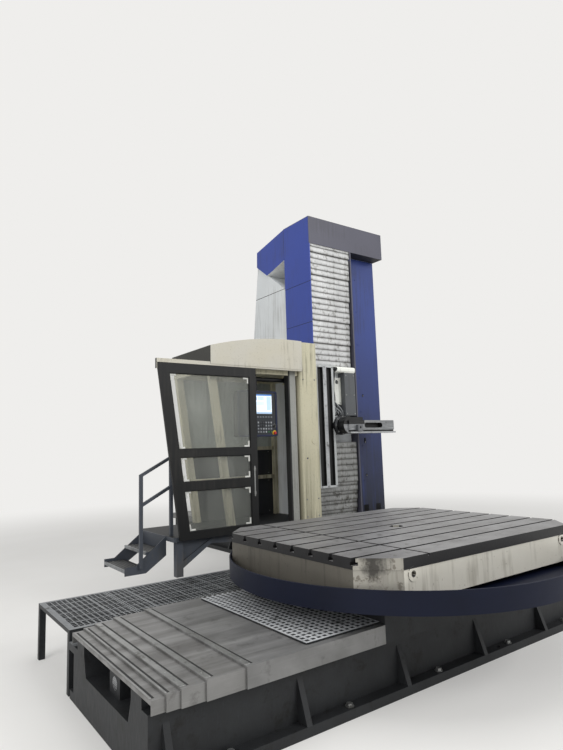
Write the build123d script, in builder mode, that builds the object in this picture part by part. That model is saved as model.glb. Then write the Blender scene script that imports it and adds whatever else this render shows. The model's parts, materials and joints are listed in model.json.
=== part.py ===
from build123d import *
import os
from math import hypot

os.makedirs("parts", exist_ok=True)

# Horizontal boring mill, in millimetres. +X is the table's travel, +Y goes from the table
# to the column, +Z is up. The origin is on the floor, under the crossing of the X bed's
# centre line and the spindle's vertical plane.

# Clearances
slide_gap = 0.3
turn_gap = 0.5
lip_gap = 0.4
bore_gap = 0.05

# Bed castings: one section serves the X bed and the Z bed
bed_width = 1320
bed_shoulder = 370
bed_foot_width = 1500
bed_foot_thickness = 60
bed_way_width = 150
bed_way_spacing = 1000
bed_way_height = 60
bed_trough_width = 760
bed_trough_slope = 45
bed_trough_floor = 240
bed_rib_thickness = 40
bed_rib_pitch = 880
anchor_radius = 18
anchor_inset = 45
anchor_end = 500
anchor_pitch = 2200

x_bed_length = 8120
z_bed_front = 752
z_bed_rear = 6920
z_bed_x = 310
joint_boss_width = 900

# Feed screws
screw_radius = 40
screw_height = 310
screw_block_length = 120
screw_block_width = 180

# Way covers: nested steel troughs, the largest next to the slide
cover_top = 500
cover_width = 1500
cover_step = 12
cover_plate = 4
cover_skirt = 380
cover_lip = 20
end_plate = 6
x_cover_left_length = 1100
x_cover_right_length = 1250
z_cover_front_length = 1050
z_cover_rear_length = 1020
x_left_shares = (0.45, 0.26, 0.145, 0.145)

# Walking mat on the left cover
mat_outer_x = -3050
mat_width = 1400
mat_thickness = 10

# Table saddle, tray and rotary table
table_x = -1450
saddle_length = 1920
saddle_top = 640
shoe_side = 10
slide_skirt = 50
nut_width = 180
nut_clearance = 10
pedestal_radius = 850
pivot_radius = 150
pivot_depth = 100
tray_clearance = 15.88
tray_top = 790
tray_plate = 6
tray_hole_gap = 5
gusset_reach = 600
gusset_drop = 100
gusset_plate = 8
table_length = 2500
table_depth = 2000
table_underside = 690
table_top = 980
table_chamfer = 230
table_band = 75
table_band_step = 4
tray_radius = hypot(table_length / 2, table_depth / 2 - table_chamfer) + tray_clearance + tray_plate
slot_count = 8
slot_pitch = 220
slot_neck = 28
slot_neck_depth = 26
slot_width = 50
slot_depth = 48
cross_groove_x = -780
cross_groove_width = 20
cross_groove_depth = 14
table_bore_radius = 60
table_bore_depth = 90
lifting_ring_radius = 48
lifting_hole_radius = 22
lifting_hole_depth = 60
lifting_ring_proud = 6
lifting_hole_height = 870
lifting_hole_offset = 930

# Column sled and column
sled_front = 2250
sled_rear = 4350
sled_top = 700
column_left = -420
column_right = 1040
column_front = 2330
column_top = 4970
right_panel_front = 2540
bay_rear = 2930
bay_right = 375
casting_inset = 20
casting_top_front = column_top - 940
casting_top_rear_y = 3670
casting_top_rear_z = column_top - 390
casting_waist_y = 3840
casting_waist_z = column_top - 1540
casting_foot_rear = 4280
crown_front = 2430
crown_top = column_top - 20
crown_depth = 500
crown_underside = crown_top - crown_depth
tail_cavity_half = 235
tail_cavity_rear = 3600
tail_cavity_low = 1200
tail_cavity_high = column_top - 1010
sheet = 6
cap_depth = 400
cap_underside = column_top - cap_depth
bridge_low_front = column_top - 480
bridge_tip_y = 3390
bridge_top_rear_y = 3660
bridge_top_rear_z = column_top - 150
seam_width = 4
seam_depth = 2
seam_heights = (casting_waist_z, column_top - 950)
guard_flange = 22
panel_bolt_radius = 9
panel_bolt_head = 6
panel_bolt_x = 640
panel_bolt_count = 7
panel_bolt_low = 1180
panel_bolt_drop = 210
window_size = 95
window_height = 780
window_centres = (655, 905)
rail_width = 50
rail_depth = 45
rail_offset = 300
y_screw_x = 290
y_screw_y = 2720
y_screw_radius = 25
y_screw_block = 90

# Slat covers above and below the headstock: rows of slats, nested in the depth
slat_left = -400
slat_right = 345
slat_front = 2342
slat_layer = 10
slat_plate = 3
slat_rise = 3
slat_flange = 22
slat_pitch = 80
slat_lip = 14
upper_rows = 6
upper_count = 6
upper_top = crown_top - 20
lower_rows = 7
lower_count = 5
lower_front = 2362
lower_top = 1750
lower_hook = 10

# Headstock
spindle_z = 1980
head_left = -390
head_right = 340
head_front = 2460
head_rear = 2920
head_bottom = 1140
head_top = 2820
tail_half = 220
tail_rear = 3550
tail_low = 1700
tail_high = 2260
nose_ring_radius = 200
nose_ring_front = 2430
sleeve_radius = 130
sleeve_front = 2250
sleeve_rear = 3400
sleeve_step = 20
sleeve_flange = 60
bore_end_wall = 40
spindle_radius = 65
spindle_front = 2220
spindle_rear = 3460
frame_left = -400
frame_right = -90
frame_front = 2300
frame_depth = 50
frame_border = 30
frame_slots = ((-385, -285), (-225, -130))
frame_foot = 12
nose_clearance = 6
side_panel_left = 140
side_panel_low = 2125
lip_low = 2740
lip_front = 2318
lip_rounding = 28
face_plate_left = 20
face_plate_low = 2290
face_plate_high = 2670
face_plate_depth = 34
face_plate_chamfer = 36
face_hole_radius = 30
face_hole_depth = 20
face_hole_x = 75
face_hole_z = 2610
pipe_radius = 9
pipe_starts = (72, 114)
pipe_shift = 40
pipe_drop = 60
pipe_bow = 38
pipe_inset = 45

# Facing arm and its tool block
arm_back = 2200
arm_depth = 120
arm_left = -40
arm_right = 835
arm_low = 1865
arm_high = 2045
arm_flange = 22
arm_flange_proud = 30
arm_slot = (250, 600)
arm_slot_height = 70
arm_slot_z = 1975
arm_slot_depth = 70
hub_radius = 115
arm_housing_width = 250
arm_housing_high = 2090
arm_groove_width = 24
arm_groove_depth = 14
block_x = 130
block_width = 90
block_height = 95
block_depth = 46
block_hole_radius = 16

# Cabin
cabin_front = 2280
cabin_rear = 3300
cabin_floor_top = 750
cabin_floor_plate = 60
platform_left = -2540
post_left = -700
post_depth = 150
post_sheet = 6
post_top = 3105
post_rounding = 40
inner_post = (-860, -740)
inner_post_front = 2340
inner_post_depth = 90
header_low = 2650
header_high = 2720
lean = 0.13
lug_thickness = 20
lug_reach = 40
pin_radius = 14
left_post_width = 95
left_post_top_x = -2055
beam_width = 60
fascia_left = -2080
fascia_front = 2227
fascia_low = 2720
arch_start_z = 2945
arch_mid_x = -1500
arch_mid_z = 3064
disc_x = -500
disc_z = 1780
disc_radius = 42
disc_proud = 8
post_hole_x = -620
post_hole_z = 1550
post_hole_radius = 12
rail_bar_low = 2700
rail_bar_high = 2745
rail_bar_depth = 40
rail_bar_left = -2760
rail_groove = 12
rail_groove_depth = 20
rail_box = 70
wall_sheet = 6
platform_beam_low = 560
platform_beam_left = -2320
bracket_low = 320
bracket_leg = 80
bracket_plate = 20
bracket_reach = 460
wall_rail = 50
wall_rail_levels = (1265, 1675)

# Sliding door with three windows
door_front = 2236
door_depth = 34
door_right = -1440
door_top_left = -2748
door_bottom_left = -2484
stile_left = 130
stile_right = 95
door_bars = ((715, 800), (1252, 1350), (1630, 1718), (2584, 2699.7))
pane_thickness = 6
pane_seat = 15
pane_rebate = 12

# Control console on its swing arm
swing_x = -800
swing_y = 2490
swing_z = 2600
swing_radius = 28
swing_reach = 490
console_width = 600
console_height = 590
console_depth = 110
console_low = 1850
swivel_depth = 50
console_rounding = 28
screen_width = 330
screen_height = 260
screen_x = 60
screen_z = 2270
screen_recess = 6
key_size = 24
key_pitch = 40
key_rows = 4
key_columns = 8
key_proud = 5
key_low = 1890
stop_x = 255
stop_z = 1895
stop_radius = 20
stop_travel = 6
knob_x = 255
knob_z = 1985
knob_radius = 17
knob_height = 20
knob_pointer = 6
stem_radius = 7
stop_height = 18
stop_bore_depth = 24

# Steps on the cabin's left side
step_front = 2500
step_width = 650
step_run = 240
step_heights = (600, 440)
step_plate = 30
stringer_plate = 10
handrail_section = 36
handrail_post_top = 1450
handrail_top = 1660
handrail_mid_drop = 330

# Bar grating beside the X bed
grating_front = 780
grating_rear = 1720
grating_right = -480
grating_top = 450
grating_depth = 30
grating_bar = 12
grating_border = 40
grating_count_x = 20
grating_count_y = 6
grating_leg = 50
grating_leg_gaps = 4

way_top = bed_shoulder + bed_way_height
slat_side_step = slat_plate + lip_gap
x_bed_end = x_bed_length / 2
saddle_left = table_x - saddle_length / 2
saddle_right = table_x + saddle_length / 2
spindle_plane = Plane(origin=(0, 0, spindle_z), x_dir=(1, 0, 0), z_dir=(0, -1, 0))


def write(part, label):
    part.label = label
    export_step(part, f"parts/{label}.step")


# Adds or cuts a block between two opposite corners, inside the part being built
def block(low, high, mode=Mode.ADD):
    size = [high[i] - low[i] for i in range(3)]
    centre = [(high[i] + low[i]) / 2 for i in range(3)]
    with Locations(tuple(centre)):
        Box(*size, mode=mode)


# Adds or cuts a round bar along +Y that starts at depth y
def bar_y(x, z, y, length, radius, mode=Mode.ADD):
    with Locations(Location((x, y + length / 2, z), (90, 0, 0))):
        Cylinder(radius, length, mode=mode)


# One bed casting: feet, ribbed sides, two flat ways and a chip trough between them.
# The plane stands across the bed at its end, with local x across and local y up.
def bed_casting(plane, length):
    half = bed_width / 2
    way_in = (bed_way_spacing - bed_way_width) / 2
    way_out = (bed_way_spacing + bed_way_width) / 2
    with BuildPart() as bed:
        with BuildSketch(plane):
            with BuildLine():
                Polyline(
                    (0, 0),
                    (bed_foot_width / 2, 0),
                    (bed_foot_width / 2, bed_foot_thickness),
                    (half, bed_foot_thickness),
                    (half, bed_shoulder),
                    (way_out, bed_shoulder),
                    (way_out, way_top),
                    (way_in, way_top),
                    (bed_trough_width / 2 + bed_trough_slope, bed_shoulder),
                    (bed_trough_width / 2, bed_trough_floor),
                    (0, bed_trough_floor),
                    close=True,
                )
            make_face()
            mirror(about=Plane.YZ)
        extrude(amount=length)
        rib_gaps = int((length - bed_rib_thickness) // bed_rib_pitch)
        first_rib = (length - rib_gaps * bed_rib_pitch - bed_rib_thickness) / 2
        for i in range(rib_gaps + 1):
            with BuildSketch(plane.offset(first_rib + i * bed_rib_pitch)):
                with BuildLine():
                    Polyline(
                        (half, bed_foot_thickness),
                        (bed_foot_width / 2, bed_foot_thickness),
                        (half, bed_shoulder - bed_foot_thickness),
                        close=True,
                    )
                make_face()
                mirror(about=Plane.YZ)
            extrude(amount=bed_rib_thickness)
    return bed.part


# The four anchor holes of one rectangle, through both feet
def anchor_holes(centre, spacing_x, spacing_y):
    with Locations((centre[0], centre[1], bed_foot_thickness / 2)):
        with GridLocations(spacing_x, spacing_y, 2, 2):
            Cylinder(anchor_radius, bed_foot_thickness, mode=Mode.SUBTRACT)


anchor_row = bed_foot_width - 2 * anchor_inset
x_anchor_span = x_bed_length - 2 * anchor_end
z_bed_length = z_bed_rear - z_bed_front
z_anchor_span = z_bed_length - 2 * anchor_end

x_bed_plane = Plane(origin=(-x_bed_end, 0, 0), x_dir=(0, 1, 0), z_dir=(1, 0, 0))
with BuildPart() as x_bed:
    add(bed_casting(x_bed_plane, x_bed_length))
    for span in (x_anchor_span, anchor_pitch):
        anchor_holes((0, 0), span, anchor_row)
    # Bearing blocks of the feed screw, on the trough's floor
    for end in (-1, 1):
        block_centre = end * (x_bed_end - screw_block_length)
        block(
            (block_centre - screw_block_length / 2, -screw_block_width / 2, bed_trough_floor),
            (block_centre + screw_block_length / 2, screw_block_width / 2, bed_shoulder),
        )
    with Locations(Location((0, 0, screw_height), (0, 90, 0))):
        Cylinder(screw_radius + bore_gap, x_bed_length - screw_block_length, mode=Mode.SUBTRACT)
write(x_bed.part, "x_bed")

z_bed_plane = Plane(origin=(z_bed_x, z_bed_front, 0), x_dir=(-1, 0, 0), z_dir=(0, 1, 0))
with BuildPart() as z_bed:
    add(bed_casting(z_bed_plane, z_bed_length))
    for span in (z_anchor_span, anchor_pitch):
        anchor_holes((z_bed_x, z_bed_front + z_bed_length / 2), anchor_row, span)
    # Boss that bolts the Z bed to the X bed's side, above the ribs
    block(
        (z_bed_x - joint_boss_width / 2, bed_width / 2, bed_shoulder - bed_foot_thickness),
        (z_bed_x + joint_boss_width / 2, z_bed_front, bed_shoulder),
    )
write(z_bed.part, "z_bed")

with BuildPart() as x_feed_screw:
    with Locations(Location((0, 0, screw_height), (0, 90, 0))):
        Cylinder(screw_radius, x_bed_length - screw_block_length)
write(x_feed_screw.part, "x_feed_screw")


# One segment of a way cover. The plane stands at its outer end and looks at the slide.
# The fixed segment has an end plate that stands on the ways, the others a wiper lip.
def way_cover(plane, length, level, fixed):
    half = cover_width / 2 - level * cover_step
    top = cover_top - level * cover_step
    inner = half - cover_plate
    under = top - cover_plate
    lip_half = half - cover_step + lip_gap
    lip_under = top - cover_step + lip_gap
    with BuildPart() as cover:
        with BuildSketch(plane):
            with BuildLine():
                Polyline(
                    (0, top),
                    (half, top),
                    (half, cover_skirt),
                    (inner, cover_skirt),
                    (inner, under),
                    (0, under),
                    close=True,
                )
            make_face()
            mirror(about=Plane.YZ)
        extrude(amount=length)
        with BuildSketch(plane):
            if fixed:
                with Locations((0, (under + way_top) / 2)):
                    Rectangle(2 * inner, under - way_top)
            else:
                with BuildLine():
                    Polyline(
                        (0, under),
                        (inner, under),
                        (inner, cover_skirt),
                        (lip_half, cover_skirt),
                        (lip_half, lip_under),
                        (0, lip_under),
                        close=True,
                    )
                make_face()
                mirror(about=Plane.YZ)
        extrude(amount=end_plate if fixed else cover_lip)
    return cover.part


# Positions of the outer ends, from the slide's own cover to the fixed one
def cover_ends(first, last, shares):
    ends = [first]
    for share in shares:
        ends.append(ends[-1] + share * (last - first))
    return ends


x_left_ends = cover_ends(saddle_left - x_cover_left_length, -x_bed_end, x_left_shares)
x_right_ends = cover_ends(saddle_right + x_cover_right_length, x_bed_end, (1 / 3, 1 / 3, 1 / 3))
z_front_ends = cover_ends(sled_front - z_cover_front_length, z_bed_front, (1 / 2, 1 / 2))
z_rear_ends = cover_ends(sled_rear + z_cover_rear_length, z_bed_rear, (1 / 2, 1 / 2))

cover_runs = (
    ("x_cover_left", x_left_ends, x_cover_left_length, (1, 0, 0)),
    ("x_cover_right", x_right_ends, x_cover_right_length, (-1, 0, 0)),
    ("z_cover_front", z_front_ends, z_cover_front_length, (0, 1, 0)),
    ("z_cover_rear", z_rear_ends, z_cover_rear_length, (0, -1, 0)),
)
for run_name, ends, length, inward in cover_runs:
    across = (-inward[1], inward[0], 0)
    for level, end in enumerate(ends):
        origin = (end, 0, 0) if inward[1] == 0 else (z_bed_x, end, 0)
        cover_plane = Plane(origin=origin, x_dir=across, z_dir=inward)
        segment = way_cover(cover_plane, length, level, level == len(ends) - 1)
        write(segment, f"{run_name}_{level + 1}")

with BuildPart() as walk_mat:
    with BuildSketch(Plane.XY.offset(cover_top)):
        with Locations(((mat_outer_x + saddle_left) / 2, 0)):
            RectangleRounded(saddle_left - mat_outer_x, mat_width, 3 * mat_thickness)
    extrude(amount=mat_thickness)
write(walk_mat.part, "walk_mat")


# Section of a slide that rides on a bed: skirts outside, shoes on the ways
def slide_section(top):
    shoe_half = bed_way_width / 2 + shoe_side
    shoe_in = bed_way_spacing / 2 - shoe_half
    shoe_out = bed_way_spacing / 2 + shoe_half
    relief = way_top + shoe_side
    skirt_in = cover_width / 2 - slide_skirt
    with BuildSketch() as section:
        with BuildLine():
            Polyline(
                (0, top),
                (cover_width / 2, top),
                (cover_width / 2, cover_skirt),
                (skirt_in, cover_skirt),
                (skirt_in, relief),
                (shoe_out, relief),
                (shoe_out, way_top + slide_gap),
                (shoe_in, way_top + slide_gap),
                (shoe_in, relief),
                (0, relief),
                close=True,
            )
        make_face()
        mirror(about=Plane.YZ)
    return section.sketch


# Table saddle: slide, feed nut, round pedestal with the table's pivot bore
saddle_plane = Plane(origin=(saddle_left, 0, 0), x_dir=(0, 1, 0), z_dir=(1, 0, 0))
with BuildPart() as x_saddle:
    with BuildSketch(saddle_plane):
        add(slide_section(saddle_top))
    extrude(amount=saddle_length)
    block(
        (table_x - nut_width, -nut_width / 2, bed_trough_floor + nut_clearance),
        (table_x + nut_width, nut_width / 2, way_top + 2 * shoe_side),
    )
    with BuildSketch(Plane.XY.offset(saddle_top)):
        with Locations((table_x, 0)):
            Circle(pedestal_radius)
    extrude(amount=table_underside - slide_gap - saddle_top)
    with BuildSketch(Plane.XY.offset(table_underside)):
        with Locations((table_x, 0)):
            Circle(pivot_radius + turn_gap)
    extrude(amount=-pivot_depth - turn_gap, mode=Mode.SUBTRACT)
    with Locations(Location((table_x, 0, screw_height), (0, 90, 0))):
        Cylinder(screw_radius + turn_gap, saddle_length, mode=Mode.SUBTRACT)
write(x_saddle.part, "x_saddle")

with BuildPart() as splash_tray:
    with BuildSketch(Plane.XY.offset(saddle_top)):
        with Locations((table_x, 0)):
            Circle(tray_radius)
            Circle(pedestal_radius + tray_hole_gap, mode=Mode.SUBTRACT)
    extrude(amount=tray_plate)
    with BuildSketch(Plane.XY.offset(saddle_top)):
        with Locations((table_x, 0)):
            Circle(tray_radius)
            Circle(tray_radius - tray_plate, mode=Mode.SUBTRACT)
    extrude(amount=tray_top - saddle_top)
    # Gussets under the overhanging floor, on the saddle's sides
    for side in (-1, 1):
        root = side * cover_width / 2
        for gusset_x in (-saddle_length / 4, saddle_length / 4):
            plane = Plane(origin=(table_x + gusset_x, 0, 0), x_dir=(0, 1, 0), z_dir=(1, 0, 0))
            with BuildSketch(plane):
                with BuildLine():
                    Polyline(
                        (root, saddle_top),
                        (root + side * gusset_reach, saddle_top),
                        (root, saddle_top - gusset_drop),
                        close=True,
                    )
                make_face()
            extrude(amount=gusset_plate / 2, both=True)
write(splash_tray.part, "splash_tray")


# Rotary table: dark band above a body that stands back a little, T-slots along X
with BuildPart() as rotary_table:
    for inset, level, thickness in (
        (table_band_step, table_underside, table_top - table_band - table_underside),
        (0, table_top - table_band, table_band),
    ):
        with BuildSketch(Plane.XY.offset(level)) as outline:
            with Locations((table_x, 0)):
                Rectangle(table_length - 2 * inset, table_depth - 2 * inset)
            chamfer(outline.vertices(), table_chamfer)
        extrude(amount=thickness)
    with BuildSketch(Plane.XY.offset(table_underside)):
        with Locations((table_x, 0)):
            Circle(pivot_radius)
    extrude(amount=-pivot_depth)
    slot_plane = Plane(origin=(table_x, 0, table_top), x_dir=(0, 1, 0), z_dir=(1, 0, 0))
    with BuildSketch(slot_plane):
        with GridLocations(slot_pitch, 0, slot_count, 1):
            with Locations((0, -slot_neck_depth / 2)):
                Rectangle(slot_neck, slot_neck_depth)
            with Locations((0, -(slot_neck_depth + slot_depth) / 2)):
                Rectangle(slot_width, slot_depth - slot_neck_depth)
    extrude(amount=table_length, both=True, mode=Mode.SUBTRACT)
    block(
        (table_x + cross_groove_x, -table_depth, table_top - cross_groove_depth),
        (table_x + cross_groove_x + cross_groove_width, table_depth, table_top),
        mode=Mode.SUBTRACT,
    )
    with Locations((table_x, 0, table_top - table_bore_depth / 2)):
        Cylinder(table_bore_radius, table_bore_depth, mode=Mode.SUBTRACT)
    # Lifting holes in raised rings, two on each long side
    for side in (-1, 1):
        body_side = side * (table_depth / 2 - table_band_step)
        for ring_shift in (-lifting_hole_offset, lifting_hole_offset):
            ring_plane = Plane(
                origin=(table_x + ring_shift, body_side, lifting_hole_height),
                x_dir=(1, 0, 0),
                z_dir=(0, side, 0),
            )
            with BuildSketch(ring_plane):
                Circle(lifting_ring_radius)
            extrude(amount=lifting_ring_proud)
            with BuildSketch(ring_plane.offset(lifting_ring_proud)):
                Circle(lifting_hole_radius)
            extrude(amount=-lifting_hole_depth, mode=Mode.SUBTRACT)
write(rotary_table.part, "rotary_table")


# Column sled on the Z bed
sled_plane = Plane(origin=(z_bed_x, sled_front, 0), x_dir=(-1, 0, 0), z_dir=(0, 1, 0))
with BuildPart() as column_sled:
    with BuildSketch(sled_plane):
        add(slide_section(sled_top))
    extrude(amount=sled_rear - sled_front)
    block(
        (z_bed_x - nut_width / 2, column_front, bed_trough_floor + nut_clearance),
        (z_bed_x + nut_width / 2, bay_rear, way_top + 2 * shoe_side),
    )
write(column_sled.part, "column_sled")


# Column casting: tapered rear body with the headstock's cavity, right pillar, crown beam
casting_left = column_left + casting_inset
casting_right = column_right - casting_inset
casting_slope = (casting_top_rear_z - casting_top_front) / (casting_top_rear_y - bay_rear)
bridge_tip_z = casting_top_front + casting_slope * (bridge_tip_y - bay_rear)
side_plane = Plane(origin=(casting_left, 0, 0), x_dir=(0, 1, 0), z_dir=(1, 0, 0))
with BuildPart() as column_casting:
    with BuildSketch(side_plane):
        with BuildLine():
            Polyline(
                (bay_rear, sled_top),
                (bay_rear, casting_top_front),
                (casting_top_rear_y, casting_top_rear_z),
                (casting_waist_y, casting_waist_z),
                (casting_foot_rear, sled_top),
                close=True,
            )
        make_face()
    extrude(amount=casting_right - casting_left)
    block((bay_right, right_panel_front + sheet, sled_top), (casting_right, bay_rear, crown_underside))
    block((casting_left, crown_front, crown_underside), (bay_right, bay_rear, crown_top))
    block(
        (bay_right, right_panel_front + sheet, crown_underside),
        (casting_right, bay_rear, crown_top),
    )
    block(
        (-tail_cavity_half, bay_rear, tail_cavity_low),
        (tail_cavity_half, tail_cavity_rear, tail_cavity_high),
        mode=Mode.SUBTRACT,
    )
    # Vertical guide rails on the bay's rear wall
    for rail_x in (-rail_offset, rail_offset):
        block(
            (rail_x - rail_width / 2, bay_rear - rail_depth, sled_top),
            (rail_x + rail_width / 2, bay_rear, crown_underside),
        )
    # Bearing brackets of the vertical feed screw
    for low in (sled_top, crown_underside - y_screw_block / 2):
        block(
            (y_screw_x - y_screw_block / 2, y_screw_y - y_screw_block / 2, low),
            (bay_right, y_screw_y + y_screw_block / 2, low + y_screw_block / 2),
        )
    with Locations((y_screw_x, y_screw_y, (sled_top + crown_underside) / 2)):
        Cylinder(y_screw_radius + bore_gap, crown_underside - sled_top, mode=Mode.SUBTRACT)
write(column_casting.part, "column_casting")

with BuildPart() as y_feed_screw:
    with Locations((y_screw_x, y_screw_y, (sled_top + crown_underside) / 2)):
        Cylinder(y_screw_radius, crown_underside - sled_top)
write(y_feed_screw.part, "y_feed_screw")

# Blue left cover: one folded sheet with two pressed seams
with BuildPart() as column_left_cover:
    block((column_left, column_front + sheet, sled_top), (column_left + sheet, bay_rear, column_top - sheet))
    block(
        (column_left, column_front, sled_top),
        (column_left + casting_inset - sheet, column_front + sheet, cap_underside),
    )
    # Stand-offs between the sheet and the casting
    for low in (crown_underside, crown_top - sheet):
        block(
            (column_left + sheet, crown_front, low),
            (casting_left, bay_rear - sheet, low + sheet),
        )
    for seam in seam_heights:
        block(
            (column_left, column_front + sheet, seam - seam_width / 2),
            (column_left + seam_depth, bay_rear, seam + seam_width / 2),
            mode=Mode.SUBTRACT,
        )
write(column_left_cover.part, "column_left_cover")

# Blue right cover: front face and side, bolt heads, two square openings near the foot
with BuildPart() as column_right_cover:
    block(
        (bay_right, right_panel_front, sled_top),
        (column_right, right_panel_front + sheet, cap_underside),
    )
    block(
        (casting_right, right_panel_front + sheet, sled_top),
        (column_right, bay_rear, cap_underside),
    )
    bolt_front = right_panel_front - panel_bolt_head
    bolt_pitch = (crown_underside - panel_bolt_drop - panel_bolt_low) / (panel_bolt_count - 1)
    for i in range(panel_bolt_count):
        bolt_height = panel_bolt_low + i * bolt_pitch
        bar_y(panel_bolt_x, bolt_height, bolt_front, panel_bolt_head, panel_bolt_radius)
    for window_x in window_centres:
        block(
            (window_x - window_size / 2, right_panel_front, window_height - window_size / 2),
            (window_x + window_size / 2, right_panel_front + sheet, window_height + window_size / 2),
            mode=Mode.SUBTRACT,
        )
write(column_right_cover.part, "column_right_cover")

# Grey cap, open below over the slat covers, with the guard strip that hangs from it
# between the slat covers and the right cover
with BuildPart() as top_cap:
    block((column_left, column_front, cap_underside), (column_right, bay_rear, column_top))
    block(
        (column_left, column_front + sheet, cap_underside),
        (column_right - sheet, bay_rear, column_top - sheet),
        mode=Mode.SUBTRACT,
    )
    block(
        (bay_right + sheet, column_front + sheet, cap_underside),
        (column_right - sheet, right_panel_front - sheet, cap_underside + sheet),
    )
    block(
        (bay_right - guard_flange, column_front, sled_top),
        (bay_right, column_front + sheet, cap_underside),
    )
    block(
        (bay_right - sheet, column_front + sheet, sled_top),
        (bay_right, right_panel_front + sheet, crown_underside),
    )
    # Brackets that rest the cap on the crown beam
    for bracket_x in (casting_left, bay_right, casting_right - sheet):
        block(
            (bracket_x, crown_front, crown_top),
            (bracket_x + sheet, bay_rear, column_top - sheet),
        )
write(top_cap.part, "top_cap")

# Blue bridge from the crown down to the rear casting
bridge_plane = Plane(origin=(column_left, 0, 0), x_dir=(0, 1, 0), z_dir=(1, 0, 0))
with BuildPart() as top_bridge:
    with BuildSketch(bridge_plane):
        with BuildLine():
            Polyline(
                (bay_rear, bridge_low_front),
                (bay_rear, column_top - sheet),
                (bridge_top_rear_y, bridge_top_rear_z),
                (casting_top_rear_y, casting_top_rear_z),
                (bridge_tip_y, bridge_tip_z),
                close=True,
            )
        make_face()
    extrude(amount=column_right - column_left)
write(top_bridge.part, "top_bridge")


# One segment of a slat cover: shingled rows in front, side flanges, a wiper lip below
def slat_cover(front, bottom, rows, level, lip):
    left = slat_left + level * slat_side_step
    right = slat_right - level * slat_side_step
    length = rows * slat_pitch
    back = front + slat_plate
    outline = [(back, bottom)]
    for row in range(rows):
        outline.append((front - slat_rise, bottom + row * slat_pitch))
        outline.append((front, bottom + (row + 1) * slat_pitch))
    outline.append((back, bottom + length))
    with BuildPart() as slats:
        with BuildSketch(Plane(origin=(left, 0, 0), x_dir=(0, 1, 0), z_dir=(1, 0, 0))):
            with BuildLine():
                Polyline(*outline, close=True)
            make_face()
        extrude(amount=right - left)
        for side in (left, right - slat_plate):
            block((side, back, bottom), (side + slat_plate, back + slat_flange, bottom + length))
        if lip:
            lip_back = front + slat_layer - slat_rise - lip_gap
            block((left, back, bottom), (right, lip_back, bottom + slat_lip))
    return slats.part


# Upper set: the fixed top segment is outermost, the one on the headstock is innermost
upper_length = upper_rows * slat_pitch
upper_step = (upper_top - upper_length - head_top) / (upper_count - 1)
for i in range(upper_count):
    level = upper_count - 1 - i
    segment_front = slat_front + level * slat_layer
    segment_bottom = head_top + i * upper_step
    with BuildPart() as upper_slats:
        add(slat_cover(segment_front, segment_bottom, upper_rows, level, i > 0))
        if i == 0:
            block(
                (slat_left + level * slat_side_step, segment_front, head_top),
                (slat_right - level * slat_side_step, head_front, head_top + slat_plate),
            )
        if i == upper_count - 1:
            block(
                (slat_left, segment_front, upper_top - slat_plate),
                (slat_right, crown_front, upper_top),
            )
    write(upper_slats.part, f"upper_cover_{i + 1}")

# Lower set: the segment on the headstock is outermost, the fixed bottom one is innermost
lower_length = lower_rows * slat_pitch
lower_step = (lower_top - lower_length - sled_top) / (lower_count - 1)
for i in range(lower_count):
    segment_front = lower_front + i * slat_layer
    segment_bottom = lower_top - lower_length - i * lower_step
    with BuildPart() as lower_slats:
        add(slat_cover(segment_front, segment_bottom, lower_rows, i, i < lower_count - 1))
        if i == 0:
            block(
                (slat_left, segment_front, lower_top - lower_hook),
                (slat_right, head_front, lower_top),
            )
    write(lower_slats.part, f"lower_cover_{i + 1}")


# Headstock casting with its tail, grooves for the guide rails and the spindle bore
with BuildPart() as headstock:
    block((head_left, head_front, head_bottom), (head_right, head_rear, head_top))
    block((-tail_half, head_rear, tail_low), (tail_half, tail_rear, tail_high))
    bar_y(0, spindle_z, nose_ring_front, head_front - nose_ring_front, nose_ring_radius)
    groove_half = rail_width / 2 + slide_gap
    for rail_x in (-rail_offset, rail_offset):
        block(
            (rail_x - groove_half, bay_rear - rail_depth - slide_gap, head_bottom),
            (rail_x + groove_half, head_rear, head_top),
            mode=Mode.SUBTRACT,
        )
    bar_y(
        0,
        spindle_z,
        nose_ring_front,
        sleeve_rear + bore_end_wall - nose_ring_front,
        sleeve_radius + turn_gap,
        mode=Mode.SUBTRACT,
    )
    bar_y(
        0,
        spindle_z,
        nose_ring_front,
        tail_rear - bore_end_wall - nose_ring_front,
        spindle_radius + 4 * turn_gap,
        mode=Mode.SUBTRACT,
    )
    with Locations((y_screw_x, y_screw_y, (head_bottom + head_top) / 2)):
        Cylinder(y_screw_radius + turn_gap, head_top - head_bottom, mode=Mode.SUBTRACT)
write(headstock.part, "headstock")

# Front frame with two long slots, carried on the headstock by feet behind it
frame_back = frame_front + frame_depth
with BuildPart() as head_front_frame:
    block((frame_left, frame_front, head_bottom), (frame_right, frame_back, head_top))
    for slot_left, slot_right in frame_slots:
        block(
            (slot_left, frame_front, head_bottom + frame_border),
            (slot_right, frame_back - sheet, head_top - frame_border),
            mode=Mode.SUBTRACT,
        )
    front_edges = head_front_frame.faces().sort_by(Axis.Y)[0].outer_wire().edges()
    fillet(front_edges, frame_foot / 2)
    bar_y(0, spindle_z, frame_front, frame_depth, sleeve_radius + nose_clearance, mode=Mode.SUBTRACT)
    for low in (lower_top + frame_foot, head_top - frame_border):
        block(
            (head_left, frame_back, low),
            (frame_right, head_front, low + frame_foot),
        )
write(head_front_frame.part, "head_front_frame")

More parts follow.
